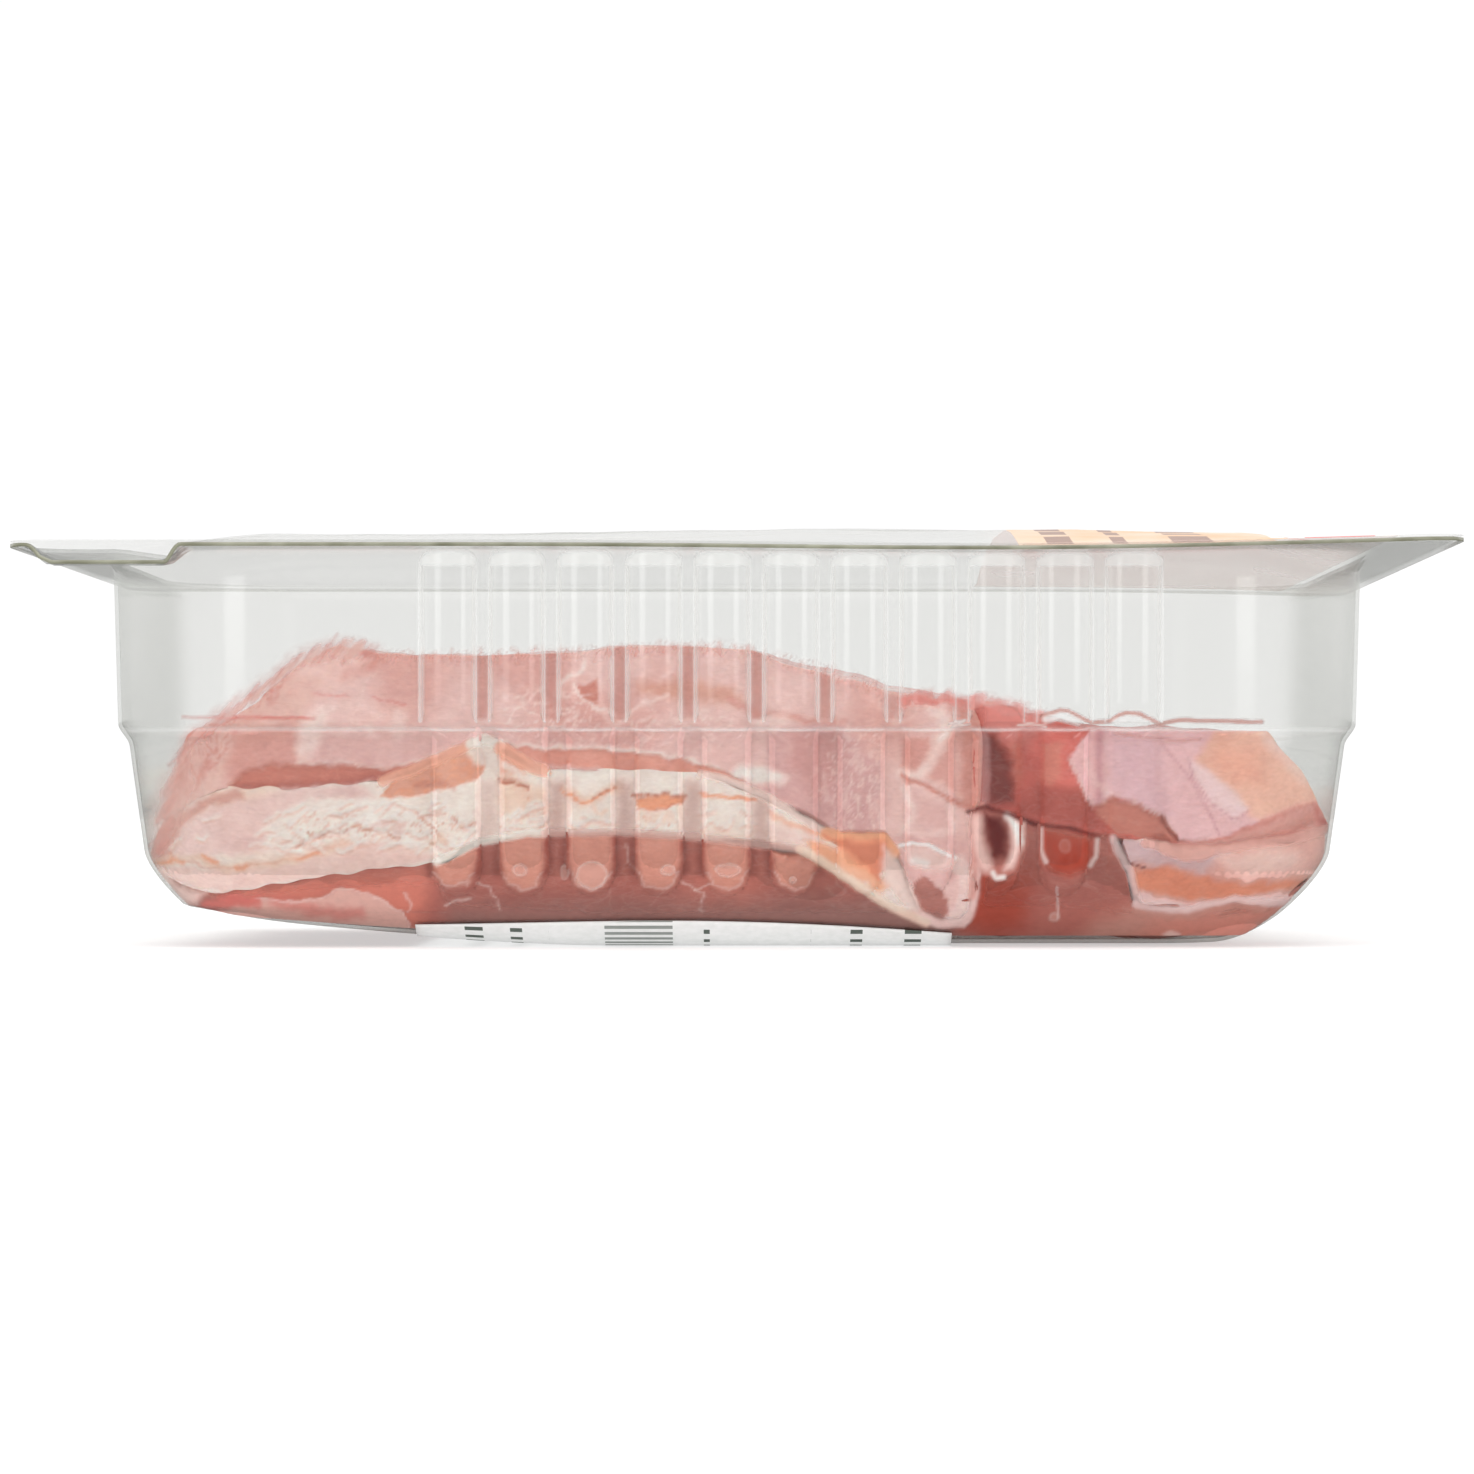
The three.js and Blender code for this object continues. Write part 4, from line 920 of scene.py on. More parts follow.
# Marks on each cutlet's front, their x and y in the photograph's pixels, with depths in mm for folds
marksOn = {
    "cutlet_base": [
        patch("baseWarm", 8, 1, [205,893, 340,872, 437,862, 432,880, 418,930, 385,905, 340,888, 310,900,
            255,900, 180,892]),
        patch("baseWarm", 14, 0.25, [440,850, 480,840, 530,830, 840,850, 860,885, 440,885]),
        patch("baseGrey", 14, 0.9, [450,905, 950,900, 960,950, 440,950]),
        patch("flapSkin", 1, 1, [210,909, 256,900, 290,902, 324,898, 341,889, 378,897, 404,914, 411,935,
            285,935, 213,921], ragged=1),
        patch("baseGrey", 3, 0.5, [172,883, 222,894, 213,909, 188,904]),
        stroke("redStreak", 8, 5, 0.9, [210,908, 232,900, 256,901]),
        stroke("redStreak", 8, 5, 0.6, [276,901, 324,912, 358,914]),
        stroke("veil", 1, 1, 0.6, [256,899, 290,902, 319,899, 341,888, 373,895, 402,912, 410,927]),
        patch("brownRed", 13, 0.95, [974,868, 1012,871, 1035,859, 1041,884, 1022,929, 990,938, 961,926]),
        patch("base", 13, 0.5, [1031,839, 1114,833, 1127,884, 1133,910, 1063,935, 1031,903]),
        patch("mauveBrown", 10, 0.9, [1133,908, 1216,905, 1299,900, 1255,951, 1063,954, 1095,922]),
        patch("baseWarm", 13, 0.6, [1159,922, 1293,903, 1255,948, 1127,948]),
        patch("veil", 1, 0.6, [1162,934, 1168,931, 1181,933, 1179,939, 1165,939], ragged=1),
        *strokes("veil", 1, 1, 0.45, [[405,893, 411,902, 409,912], [478,882, 492,890, 501,910],
            [682,881, 694,889, 704,893, 701,911], [694,889, 712,884], [626,845, 629,862, 640,872],
            [446,905, 470,898]], ragged=1.5),
        patch("baseWarm", 5, 0.6, [1044,830, 1095,836, 1092,859, 1070,878, 1044,859]),
    ],
    "cutlet_middle_left": [
        patch("blushSkin", 3, 0.9, [155,863, 162,838, 172,819, 208,797, 242,788, 247,800, 213,807, 184,829,
            174,858]),
        patch("lilacFat", 3, 0.9, [176,855, 186,829, 213,808, 295,788, 358,784, 375,797, 358,814, 310,829,
            295,848, 220,855]),
        patch("mauve", 4, 0.45, [317,795, 353,788, 365,797, 353,807, 324,809]),
        patch("mauve", 7, 0.25, [227,841, 285,824, 290,843, 237,853]),
        patch("palePink", 2, 0.9, [157,864, 222,870, 285,864, 348,844, 419,841, 441,858, 407,866, 276,883,
            222,893, 172,883]),
        patch("cream", 4, 1, [261,848, 271,819, 310,797, 373,797, 431,809, 479,805, 520,800, 520,843,
            479,848, 441,855, 382,838, 334,843, 295,855]),
        patch("fatWhite", 3, 0.9, [295,848, 300,819, 315,800, 373,800, 419,814, 443,843, 382,836,
            334,841], veins=(9, 2.2, -25, 0.5)),
        # crease lines in the fat, orange-brown and partly painted shade
        patch("creaseShade", 3, 0.75, [295,848, 300,819, 315,814, 373,809, 455,814, 460,843, 382,836,
            334,841], veins=(11, 2.5, -20, 0.22), depth=0.35),
        patch("mauve", 3, 0.35, [368,819, 392,817, 404,824, 402,841, 378,836]),
        stroke("fatWhite", 7, 2, 0.9, [358,821, 392,814, 424,817, 443,836, 455,848, 479,846], depth=-0.3),
        stroke("fatWhite", 6, 2, 0.8, [378,831, 402,838, 426,843]),
        # crease lines, orange-brown and partly painted shade
        *strokes("creaseShade", 2, 1, 0.8, [[362,829, 380,832, 399,839], [310,836, 341,832, 359,824], [296,848,
            310,839, 324,836], [416,812, 434,828, 446,843], [453,818, 464,829, 474,824], [431,843, 453,849,
            474,848]], depth=0.4),
        stroke("peachFat", 5, 4, 0.7, [426,846, 443,836, 445,843]),
        stroke("peachFat", 6, 3, 0.8, [159,863, 176,859, 203,858, 222,869, 244,866, 276,863, 310,855,
            346,843]),
        *strokes("orangeFat", 3, 2, 0.8, [[162,864, 176,859, 184,862], [204,857, 218,862], [237,868,
            247,866], [298,858, 322,852]]),
        # a crease line, orange-brown and partly painted shade
        stroke("creaseShade", 1, 1, 0.5, [184,861, 222,869, 276,862, 310,854, 341,844, 382,836]),
        patch("orangePink", 1, 1, [382,797, 397,777, 419,763, 462,746, 482,746, 487,766, 479,780, 443,789,
            411,797], depth=0.3),
        patch("orangeFat", 1, 0.6, [382,797, 397,777, 419,763, 462,746, 482,746, 487,766, 479,780, 443,789,
            411,797], veins=(16, 3, -20, 0.5)),
        # painted shade under the upper cutlet's edge
        stroke("shadowBand", 2, 2, 0.6, [414,785, 443,783, 455,788]),
        patch("cream", 2, 0.9, [467,751, 479,735, 497,738, 504,756, 489,766, 474,763]),
        stroke("orangePink", 6, 3, 0.9, [504,751, 520,766]),
        stroke("rust", 2, 1, 0.8, [504,778, 513,781, 528,779]),
        patch("orangePink", 2, 0.9, [500,744, 515,746, 532,762, 527,773, 510,775, 500,773]),
        stroke("cream", 5, 2, 0.8, [505,766, 515,768, 519,775]),
        patch("cream", 2, 1, [524,775, 570,762, 650,766, 701,772, 742,785, 769,797, 820,824, 825,848,
            742,814, 621,805, 529,800]),
        patch("peachFat", 3, 0.9, [500,775, 519,780, 546,788, 548,805, 524,812, 500,814]),
        stroke("rust", 2, 1, 0.9, [500,780, 515,783, 528,788], depth=0.4),
        # crease lines, orange-brown and partly painted shade
        stroke("creaseShade", 1, 1, 0.7, [529,797, 533,809, 524,814]),
        patch("creaseShade", 2, 0.5, [500,814, 548,809, 546,831, 515,838,
            500,843], veins=(8, 2.5, 10, 0.3), depth=0.3),
        stroke("peachFat", 8, 3, 0.9, [563,788, 575,797, 584,802, 597,798, 604,792, 619,788]),
        stroke("orangeFat", 2, 1, 0.9, [563,789, 575,799, 584,803, 597,798, 604,793, 616,789]),
        stroke("rust", 1, 1, 0.9, [593,798, 604,792, 617,788], depth=0.3),
        stroke("peachFat", 3, 2, 0.9, [595,807, 599,817, 607,811]),
        # a crease line, orange-brown and partly painted shade
        stroke("creaseShade", 1, 1, 0.6, [570,826, 580,832, 597,836, 614,834]),
        patch("orangeFat", 1, 1, [635,798, 658,795, 685,796, 682,803, 667,809, 645,810, 635,806], depth=0.5),
        stroke("rust", 1, 1, 0.95, [634,796, 658,794, 685,795], depth=0.3),
        stroke("rust", 1, 1, 0.7, [637,810, 667,809, 682,801]),
        patch("peachFat", 2, 0.6, [638,811, 667,811, 683,805, 683,824, 655,824, 636,821]),
        # crease lines, orange-brown and partly painted shade
        patch("creaseShade", 2, 0.7, [635,814, 670,819, 681,834, 670,849, 650,849,
            635,831], veins=(7, 1.5, 40, 0.35), depth=0.2),
        patch("fatWhite", 2, 0.8, [635,814, 670,819, 681,834, 670,849, 650,849,
            635,831], veins=(6, 1.8, -30, 0.4)),
        stroke("orangeFat", 3, 1, 0.9, [700,793, 711,796, 733,797, 754,800]),
        patch("palePink", 3, 0.7, [774,821, 817,825, 819,855, 791,855, 773,846]),
        stroke("orangeFat", 3, 2, 0.6, [769,811, 786,823, 803,828, 822,836]),
        patch("rustFat", 2, 0.95, [837,836, 881,839, 888,859, 878,875, 853,862, 837,846]),
        patch("orangeFat", 3, 0.7, [811,839, 840,849, 866,865, 888,884, 878,890, 846,875, 811,852]),
        patch("cream", 3, 0.8, [830,859, 859,871, 888,890, 909,900, 924,913, 936,924, 917,919, 878,897,
            837,875]),
        stroke("blood", 2, 1, 0.8, [901,893, 902,894]),
        *folds(292, 803, 480, 852, 44, 14, 61),
        *folds(504, 806, 552, 838, 12, 12, 62),
        *folds(572, 812, 616, 834, 9, 10, 63),
        *folds(638, 815, 680, 846, 10, -20, 64),
        *folds(704, 806, 752, 842, 8, 8, 65),
        *folds(176, 812, 290, 850, 9, 20, 66),
    ],
    "cutlet_top_left": [
        patch("smearSkin", 3, 0.9, [145,848, 172,766, 193,732, 237,703, 276,674, 324,678, 295,732, 244,751,
            222,785, 220,790, 188,824]),
        patch("smearRed", 4, 0.65, [164,814, 176,766, 203,732, 237,700, 276,674, 295,664, 285,693, 244,727,
            220,766, 193,795], veins=(9, 5, -68, 0.55)),
        patch("rose", 5, 0.8, [237,732, 295,722, 300,766, 242,785, 225,775]),
        patch("palePink", 5, 0.35, [276,676, 305,657, 344,647, 373,652, 376,662, 353,681, 310,695]),
        stroke("rose", 3, 3, 0.8, [358,649, 379,657, 370,669]),
        stroke("rose", 7, 6, 0.45, [346,676, 373,666, 382,662]),
        *strokes("redStreak", 1, 1, 0.5, [[313,694, 329,695, 348,697], [373,697, 385,701, 407,704]]),
        stroke("redStreak", 1, 1, 0.8, [184,717, 237,717, 315,718], ragged=0),
        patch("veil", 6, 0.7, [299,727, 319,708, 334,708, 324,734, 315,758, 298,756]),
        stroke("veil", 10, 5, 0.55, [399,715, 396,741, 397,766]),
        stroke("veil", 4, 4, 0.45, [368,729, 379,746, 382,766]),
        stroke("veil", 4, 6, 0.35, [324,710, 358,703, 382,715]),
        patch("lilacLean", 4, 0.7, [324,737, 479,734, 499,727, 479,744, 419,761, 382,768, 310,762]),
        # painted shade: the band under the cutlet's lower edge, darkest along its foot
        patch("shadowBand", 2, 1, [230,785, 242,773, 276,765, 358,765, 382,769, 419,763, 465,746, 484,744, 455,751,
            411,773, 382,779, 353,783, 298,786, 249,790], depth=0.7),
        stroke("deepShade", 3, 5, 0.7, [237,788, 298,786, 348,783, 382,777]),
        stroke("veil", 1, 1, 0.7, [295,763, 334,762, 358,764, 382,769, 424,759, 462,744]),
        patch("tanLean", 5, 0.7, [636,682, 684,680, 733,687, 745,703, 733,704, 679,700, 636,693]),
        # a small patch of painted shade
        patch("shadowBand", 1, 0.9, [575,687, 597,680, 600,708, 586,700]),
        stroke("veil", 4, 2, 0.8, [559,684, 580,671, 585,663]),
        stroke("veil", 2, 1, 0.8, [573,686, 584,700, 601,709, 616,715]),
        stroke("veil", 2, 2, 0.7, [628,714, 645,703, 667,695]),
        stroke("veil", 2, 2, 0.5, [599,709, 614,727, 631,715]),
        patch("veil", 5, 0.75, [500,691, 573,686, 616,715, 718,710, 742,727, 718,756, 597,746,
            500,741], veins=(16, 1.6, -35, 0.35)),
        patch("lilacLean", 5, 0.4, [500,727, 742,727, 767,737, 742,766, 670,755, 592,748, 500,744]),
        stroke("rose", 4, 3, 0.85, [730,700, 757,714, 786,715, 813,722, 844,722]),
        patch("veil", 4, 0.5, [752,718, 788,712, 790,732, 788,766, 771,766, 757,737]),
        patch("mauve", 5, 0.8, [764,732, 839,723, 880,766, 880,838, 839,836, 771,797]),
        patch("deepMauve", 6, 0.5, [791,732, 837,732, 837,785, 815,800, 791,766]),
        patch("veil", 12, 0.5, [837,727, 880,766, 880,843, 834,829, 815,785], veins=(13, 3.5, 65, 0.35)),
        stroke("veil", 3, 2, 0.9, [495,743, 544,748, 592,747, 636,751, 670,756, 701,763, 723,771]),
        patch("fatWhite", 3, 0.75, [728,773, 742,765, 771,769, 788,776, 779,785, 745,781]),
        patch("leanBand", 1, 1, [498,744, 544,750, 592,749, 636,753, 670,758, 708,766, 729,773, 745,784,
            718,779, 670,771, 621,770, 536,763, 515,756], depth=0.5),
        # a thin line of painted shade along the lower edge
        stroke("deepShade", 1, 1, 0.6, [713,775, 733,781, 767,797, 801,817, 839,843]),
        patch("veil", 12, 0.4, [840,725, 885,728, 888,833, 840,836], veins=(12, 3.5, 68, 0.35)),
        patch("rose", 3, 0.9, [902,739, 928,736, 929,757, 915,773, 901,769]),
        patch("rose", 3, 0.8, [939,728, 954,728, 955,792, 925,776]),
        stroke("veil", 8, 4, 0.65, [931,708, 945,718, 941,741, 930,764, 917,776, 901,775]),
        stroke("veil", 4, 3, 0.8, [942,739, 953,728]),
        # painted shade along the cutlet's right edge
        stroke("shadowBand", 22, 9, 0.75, [968,712, 973,760, 972,796]),
        stroke("redStreak", 3, 3, 0.9, [906,700, 936,701, 980,701, 990,701]),
        # painted shade along the cutlet's lower edge
        stroke("shadowBand", 3, 2, 0.85, [901,776, 929,788, 958,804, 983,808], depth=0.3),
        stroke("veil", 5, 3, 0.7, [904,787, 915,814, 902,830]),
        stroke("veil", 5, 3, 0.8, [950,806, 952,830, 936,836, 904,832]),
        *patches("lilacLean", 4, 0.7, [[913,792, 950,808, 950,830, 917,827], [888,833, 968,833, 972,871,
            948,884, 904,881, 885,859]]),
        stroke("lilacFat", 14, 2, 0.9, [960,863, 967,884, 966,903, 959,917, 945,919], depth=-0.2),
        patch("spotBrown", 1, 0.95, [911,884, 924,875, 945,894, 950,916, 936,924, 923,913], ragged=2),
    ],
    "cutlet_middle_right": [
        patch("coolLilac", 4, 0.9, [1111,835, 1178,844, 1232,852, 1204,873, 1146,865, 1121,860]),
        patch("mauve", 6, 0.4, [1159,846, 1216,846, 1197,865, 1165,862]),
        patch("fPink", 4, 0.9, [1207,868, 1223,854, 1261,843, 1315,825, 1315,878, 1239,881]),
        patch("palePink", 6, 0.6, [1216,858, 1262,848, 1300,850, 1300,872, 1240,878]),
        patch("fOrange", 3, 1, [1125,868, 1146,869, 1168,865, 1200,877, 1248,884, 1309,878, 1309,888,
            1242,900, 1197,903, 1152,894, 1132,889], depth=0.3),
        patch("rust", 3, 0.5, [1125,868, 1168,867, 1200,878, 1255,886, 1191,890,
            1146,884], veins=(9, 3, -8, 0.4)),
        patch("coolWhite", 4, 0.9, [1133,889, 1146,893, 1191,903, 1235,900, 1290,893, 1293,910, 1216,914,
            1137,916]),
        stroke("shadow", 1, 1, 0.9, [1115,839, 1119,854, 1129,863, 1145,868], depth=0.6, ragged=0),
        stroke("veil", 2, 1, 0.8, [1121,839, 1137,837, 1146,839]),
        stroke("bloodRed", 4, 2, 0.8, [1304,885, 1314,878, 1318,871]),
    ],
    "cutlet_top_right": [
        patch("lean", 1, 1, [985,695, 1063,726, 1078,747, 1068,758, 1077,776, 1086,797, 1095,808, 1114,832,
            985,808], depth=0.4),
        patch("leanTop", 7, 0.9, [987,702, 1019,709, 1044,720, 1063,728, 1044,744, 987,741]),
        patch("leanBright", 4, 0.9, [1044,728, 1089,731, 1078,747, 1067,758, 1087,790, 1044,785, 1031,744]),
        patch("leanDeep", 6, 0.8, [1038,785, 1086,792, 1095,808, 1114,830, 1095,833, 1044,827, 999,814]),
        patch("tanLean", 2, 0.4, [1043,744, 1061,742, 1060,776, 1049,786, 1042,776]),
        patch("tanLean", 3, 0.25, [1009,744, 1019,741, 1023,785, 1015,788]),
        patch("shadow", 6, 1, [980,733, 993,734, 1012,763, 1015,804, 985,808], depth=2.0),
        patch("membrane", 1, 1, [1089,728, 1078,747, 1068,758, 1077,776, 1086,797, 1093,806, 1105,802,
            1114,796, 1131,801, 1147,809, 1163,817, 1175,833, 1179,841, 1192,843, 1219,838, 1258,823,
            1312,798, 1318,776, 1286,741, 1255,728]),
        patch("blushMembrane", 3, 0.5, [1092,731, 1099,731, 1099,804, 1086,795, 1070,760]),
        patch("lilacSkin", 8, 0.6, [1108,734, 1159,741, 1162,785, 1172,817, 1146,808, 1114,795]),
        stroke("foldRose", 4, 4, 0.7, [1099,731, 1099,769, 1099,804], ragged=0, depth=0.3),
        stroke("veil", 2, 3, 0.4, [1085,761, 1095,782, 1111,795]),
        patch("blush", 3, 0.95, [1216,731, 1264,731, 1293,753, 1314,776, 1314,799, 1258,822, 1246,811,
            1223,785, 1194,760]),
        patch("orangePink", 8, 0.6, [1219,744, 1255,750, 1264,785, 1232,785, 1207,761]),
        patch("palePink", 4, 0.8, [1255,731, 1299,752, 1317,785, 1309,792, 1267,749]),
        patch("innerPink", 2, 0.7, [1187,757, 1216,776, 1235,792, 1248,809, 1235,821, 1210,804,
            1191,773], depth=-0.2, ragged=0.5),
        stroke("foldRose", 1, 1, 0.6, [1188,758, 1193,778, 1210,802, 1234,820, 1247,812], ragged=0),
        stroke("foldRose", 1, 1, 0.55, [1160,742, 1188,776, 1207,808, 1219,834], ragged=0),
        stroke("veil", 1, 1, 0.6, [1068,758, 1077,776, 1086,797, 1093,806, 1105,802, 1114,796, 1131,801,
            1147,809, 1163,817, 1175,833], ragged=0),
        patch("tanFlap", 1, 1, [1094,807, 1114,798, 1131,802, 1147,810, 1163,818, 1175,834, 1178,842,
            1146,839, 1114,832], depth=0.6),
        # painted shade under the flap's edge
        stroke("deepShade", 2, 2, 0.75, [1161,818, 1178,841, 1223,844, 1264,836, 1299,822], depth=0.4),
        patch("fPink", 3, 0.8, [1178,843, 1219,839, 1258,825, 1313,799, 1315,830, 1264,839, 1223,847,
            1191,849]),
        # painted shade along the cutlet's lower edge
        stroke("shadowBand", 3, 4, 0.5, [1258,839, 1286,830, 1309,817]),
    ],
}


# How far inside the tray's top outline a place is, and the way out from there
def outlineDepth(x, y):
    overX = abs(x) - straightX
    overY = abs(y) - straightY
    out = np.hypot(np.maximum(overX, 0), np.maximum(overY, 0)) + np.minimum(np.maximum(overX, overY), 0)
    length = np.maximum(np.hypot(np.maximum(overX, 0), np.maximum(overY, 0)), 1e-6)
    wayX = np.where(np.maximum(overX, overY) > 0, np.maximum(overX, 0) / length, (overX > overY) * 1.0)
    wayY = np.where(np.maximum(overX, overY) > 0, np.maximum(overY, 0) / length, (overX <= overY) * 1.0)
    return tray["corner"] - out, wayX * np.sign(x), wayY * np.sign(y)


def wallPlay(x, y, z):  # distance in from the wall's outer face, and the rib's bulge there
    height = z - liftOfLabel
    depth, wayX, wayY = outlineDepth(x, y)
    bulge = np.where(wayY < -0.98, bulgeAt(x, height), 0)
    return depth - insetAt(height), wayX, wayY, bulge


def photoPlace(co):  # where a place lies in the photograph, in its pixels
    x, y, z = co.T
    scale = camera["focal"] / (camera["distance"] + y)
    return np.column_stack([photo["middle"] + x * scale, photo["eyeRow"] - (z - camera["height"]) * scale])


stations = np.arange(-80, 81, 2.0)


def frontEdges(co):  # the CAD cutlet's own upper and lower edge along its front
    play = wallPlay(*co.T)[0]
    near = co[(play < 1.9) & (co[:, 1] < 0)]
    found = []
    for at in stations:
        column = near[abs(near[:, 0] - at) < 2.2]
        found.append((column[:, 2].max(), column[:, 2].min()) if len(column) else (np.nan, np.nan))
    found = np.array(found)
    known = ~np.isnan(found[:, 0])
    return [np.interp(stations, stations[known], found[known, k]) for k in (0, 1)]


def ofFront(y):  # the pressed front fades out along the ends
    return 1 - rise(y, -36, 4)


# Moves the front's edges onto the seams seen in the photograph, less with depth
def toSeams(co, cutlet):
    cadTop, cadUnder = frontEdges(co)
    x, z = co[:, 0], co[:, 2]
    ragged = waves(co[:, [0]], 5, 3) * 0.12
    seamTop = np.interp(x, *onWall(cutlet["top"]).T) + 0.1 + ragged
    fromTop, fromUnder = np.interp(x, stations, cadTop), np.interp(x, stations, cadUnder)
    if cutlet["under"]:
        seamUnder = np.interp(x, *onWall(cutlet["under"]).T) - 0.1 + ragged
    else:
        seamUnder = fromUnder
    seamTop = np.maximum(seamTop, seamUnder + 0.5)
    share = np.clip((z - fromUnder) / np.maximum(fromTop - fromUnder, 0.5), 0, 1)
    squash = 0.15 if cutlet["under"] else 1
    shifted = seamUnder + (seamTop - seamUnder) * share + np.maximum(z - fromTop, 0) * 0.15
    shifted -= np.maximum(fromUnder - z, 0) * squash
    play = wallPlay(x, co[:, 1], z)[0]
    hold = (1 - rise(play, 4, 20)) * ofFront(co[:, 1])
    co[:, 2] = z + (shifted - z) * hold
    if "reachesLeft" in cutlet:  # its end lies hidden beside its neighbour
        co[:, 0] -= cutlet["reachesLeft"] * (1 - rise(x, 33, 46))
    if cutlet["outline"]:  # nothing behind stands higher than the outline seen from the front
        scale = camera["focal"] / (camera["distance"] + co[:, 1])
        row = np.interp(photoPlace(co)[:, 0], *np.array(cutlet["top"], float).T)
        limit = camera["height"] + (photo["eyeRow"] - row) / scale
        co[:, 2] = np.minimum(co[:, 2], limit + np.maximum(co[:, 2] - limit, 0) * 0.1)
    return co


# Lays the front flat against the sheet, its rounded edges too, and into the lower ribs it fills
def pressOnWall(co, recess):
    x, y, z = co.T
    play, wayX, wayY, bulge = wallPlay(x, y, z)
    height = z - liftOfLabel
    near = (1 - rise(play, 5, 9)) * ofFront(y)
    behind = np.maximum(play - contact["gap"], 0)
    flat = contact["gap"] + behind * rise(behind, contact["flatTo"] * 0.4, contact["flatTo"] + 1)
    filled = bulge * (height < tray["ledgeTop"]) * (1 - rise(x, *contact["filledTo"]))
    wanted = np.maximum(flat + recess, contact["gap"]) - filled
    shift = near * (play - wanted)
    co[:, 0] += wayX * shift
    co[:, 1] += wayY * shift
    return co


contact = {"gap": 0.62, "flatTo": 3.0, "filledTo": (45, 49)}


def buildCutlet(name, cutlet):
    piece = bpy.data.objects.new(name + "_meat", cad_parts[name].data.copy())
    bpy.context.collection.objects.link(piece)
    edited(piece, bpy.ops.mesh.remove_doubles, threshold=1e-5)
    applied(piece, "REMESH", mode="VOXEL", voxel_size=meat["voxel"] * mm)
    applied(piece, "SMOOTH", factor=0.5, iterations=5)
    refineFront(piece)
    applied(piece, "SMOOTH", factor=0.5, iterations=3)
    co = toSeams(points(piece), cutlet)
    paint = paintCutlet(name, cutlet, co)
    co = pressOnWall(co, paint["recess"])
    setPoints(piece, co)
    lumps = waves(co, 13, 21) * 0.35 + waves(co, 4.5, 22) * 0.12 + paint["rim"] * 0.3
    inward = 1 - paint["front"]
    setPoints(piece, co + vectors(piece.data.vertices, "normal") * (lumps * inward)[:, None])
    setTissueAndPaintedLight(piece, paint["colour"], paint["rim"])
    setValues(piece, "pressed", paint["front"])
    piece.data.materials.clear()
    piece.data.materials.append(meatMaterial(name + "Meat"))
    return finished(piece, cutlet["slot"], name)


def refineFront(piece):
    centre = vectors(piece.data.polygons, "center").astype(float) / mm
    play = wallPlay(*centre.T)[0]
    wanted = (play < meat["fineWithin"]) & (centre[:, 1] < meat["fineBefore"])
    wanted &= centre[:, 2] > meat["fineAbove"]
    edited(piece, bpy.ops.mesh.subdivide, wanted, number_cuts=2)


def tint(paint, name, amount):
    paint["colour"] += (colourOf(name) - paint["colour"]) * np.clip(amount, 0, 1)[:, None]


# Where the meat touches the sheet between the upper ribs, and where it fills the lower ones
def ribMarks(name):
    marks = []
    for k in range(ribs["count"]):
        left = ribPixels["high"] + ribPixels["highPitch"] * k
        middle = ribPixels["low"] + ribPixels["lowPitch"] * k
        if name == "cutlet_top_left" and k < 7:
            right = left + 12
            marks.append(patch("contact", 1, 0.75 if k < 6 else 0.4,
                               [(left, 640), (right, 640), (right, 719), (left, 719)], ragged=0))
        if name == "cutlet_middle_left" and k < 5:
            gap = middle + 34
            marks.append(patch("gapGrey", 5, 0.75 if k else 0.4,
                               [(gap - 8, 782), (gap + 8, 782), (gap + 9, 845), (gap - 9, 845)]))
        if name == "cutlet_base" and k < 6:
            low = 889 - 2 * (k == 0)
            marks.append(patch("finger", 3, 0.9, [
                (middle - 23, 815), (middle + 23, 815), (middle + 22, 868), (middle + 15, low - 5),
                (middle, low), (middle - 15, low - 5), (middle - 22, 868)], ragged=1))
            # painted shade down both sides of each filled rib
            for side in (-1, 1):
                edge = middle + side * 26
                marks.append(stroke("fingerSideShade", 5, 5, 0.75,
                                    [(edge, 828), (edge, 862), (edge - side * 2, 872)], ragged=1))
            # a thin pale outline round each filled rib's rounded end, a painted reflection
            marks.append(stroke("veil", 1, 1, 0.35, [
                (middle - 20, 872), (middle - 13, low - 4), (middle, low), (middle + 13, low - 4),
                (middle + 20, 872)]))
    return marks


def wavyPlace(place):  # how far a painted edge strays from its marks
    return np.column_stack([waves(place, 19, 37) + waves(place, 7, 38) * 0.4,
                            waves(place, 19, 39) + waves(place, 7, 40) * 0.4]) * 0.8


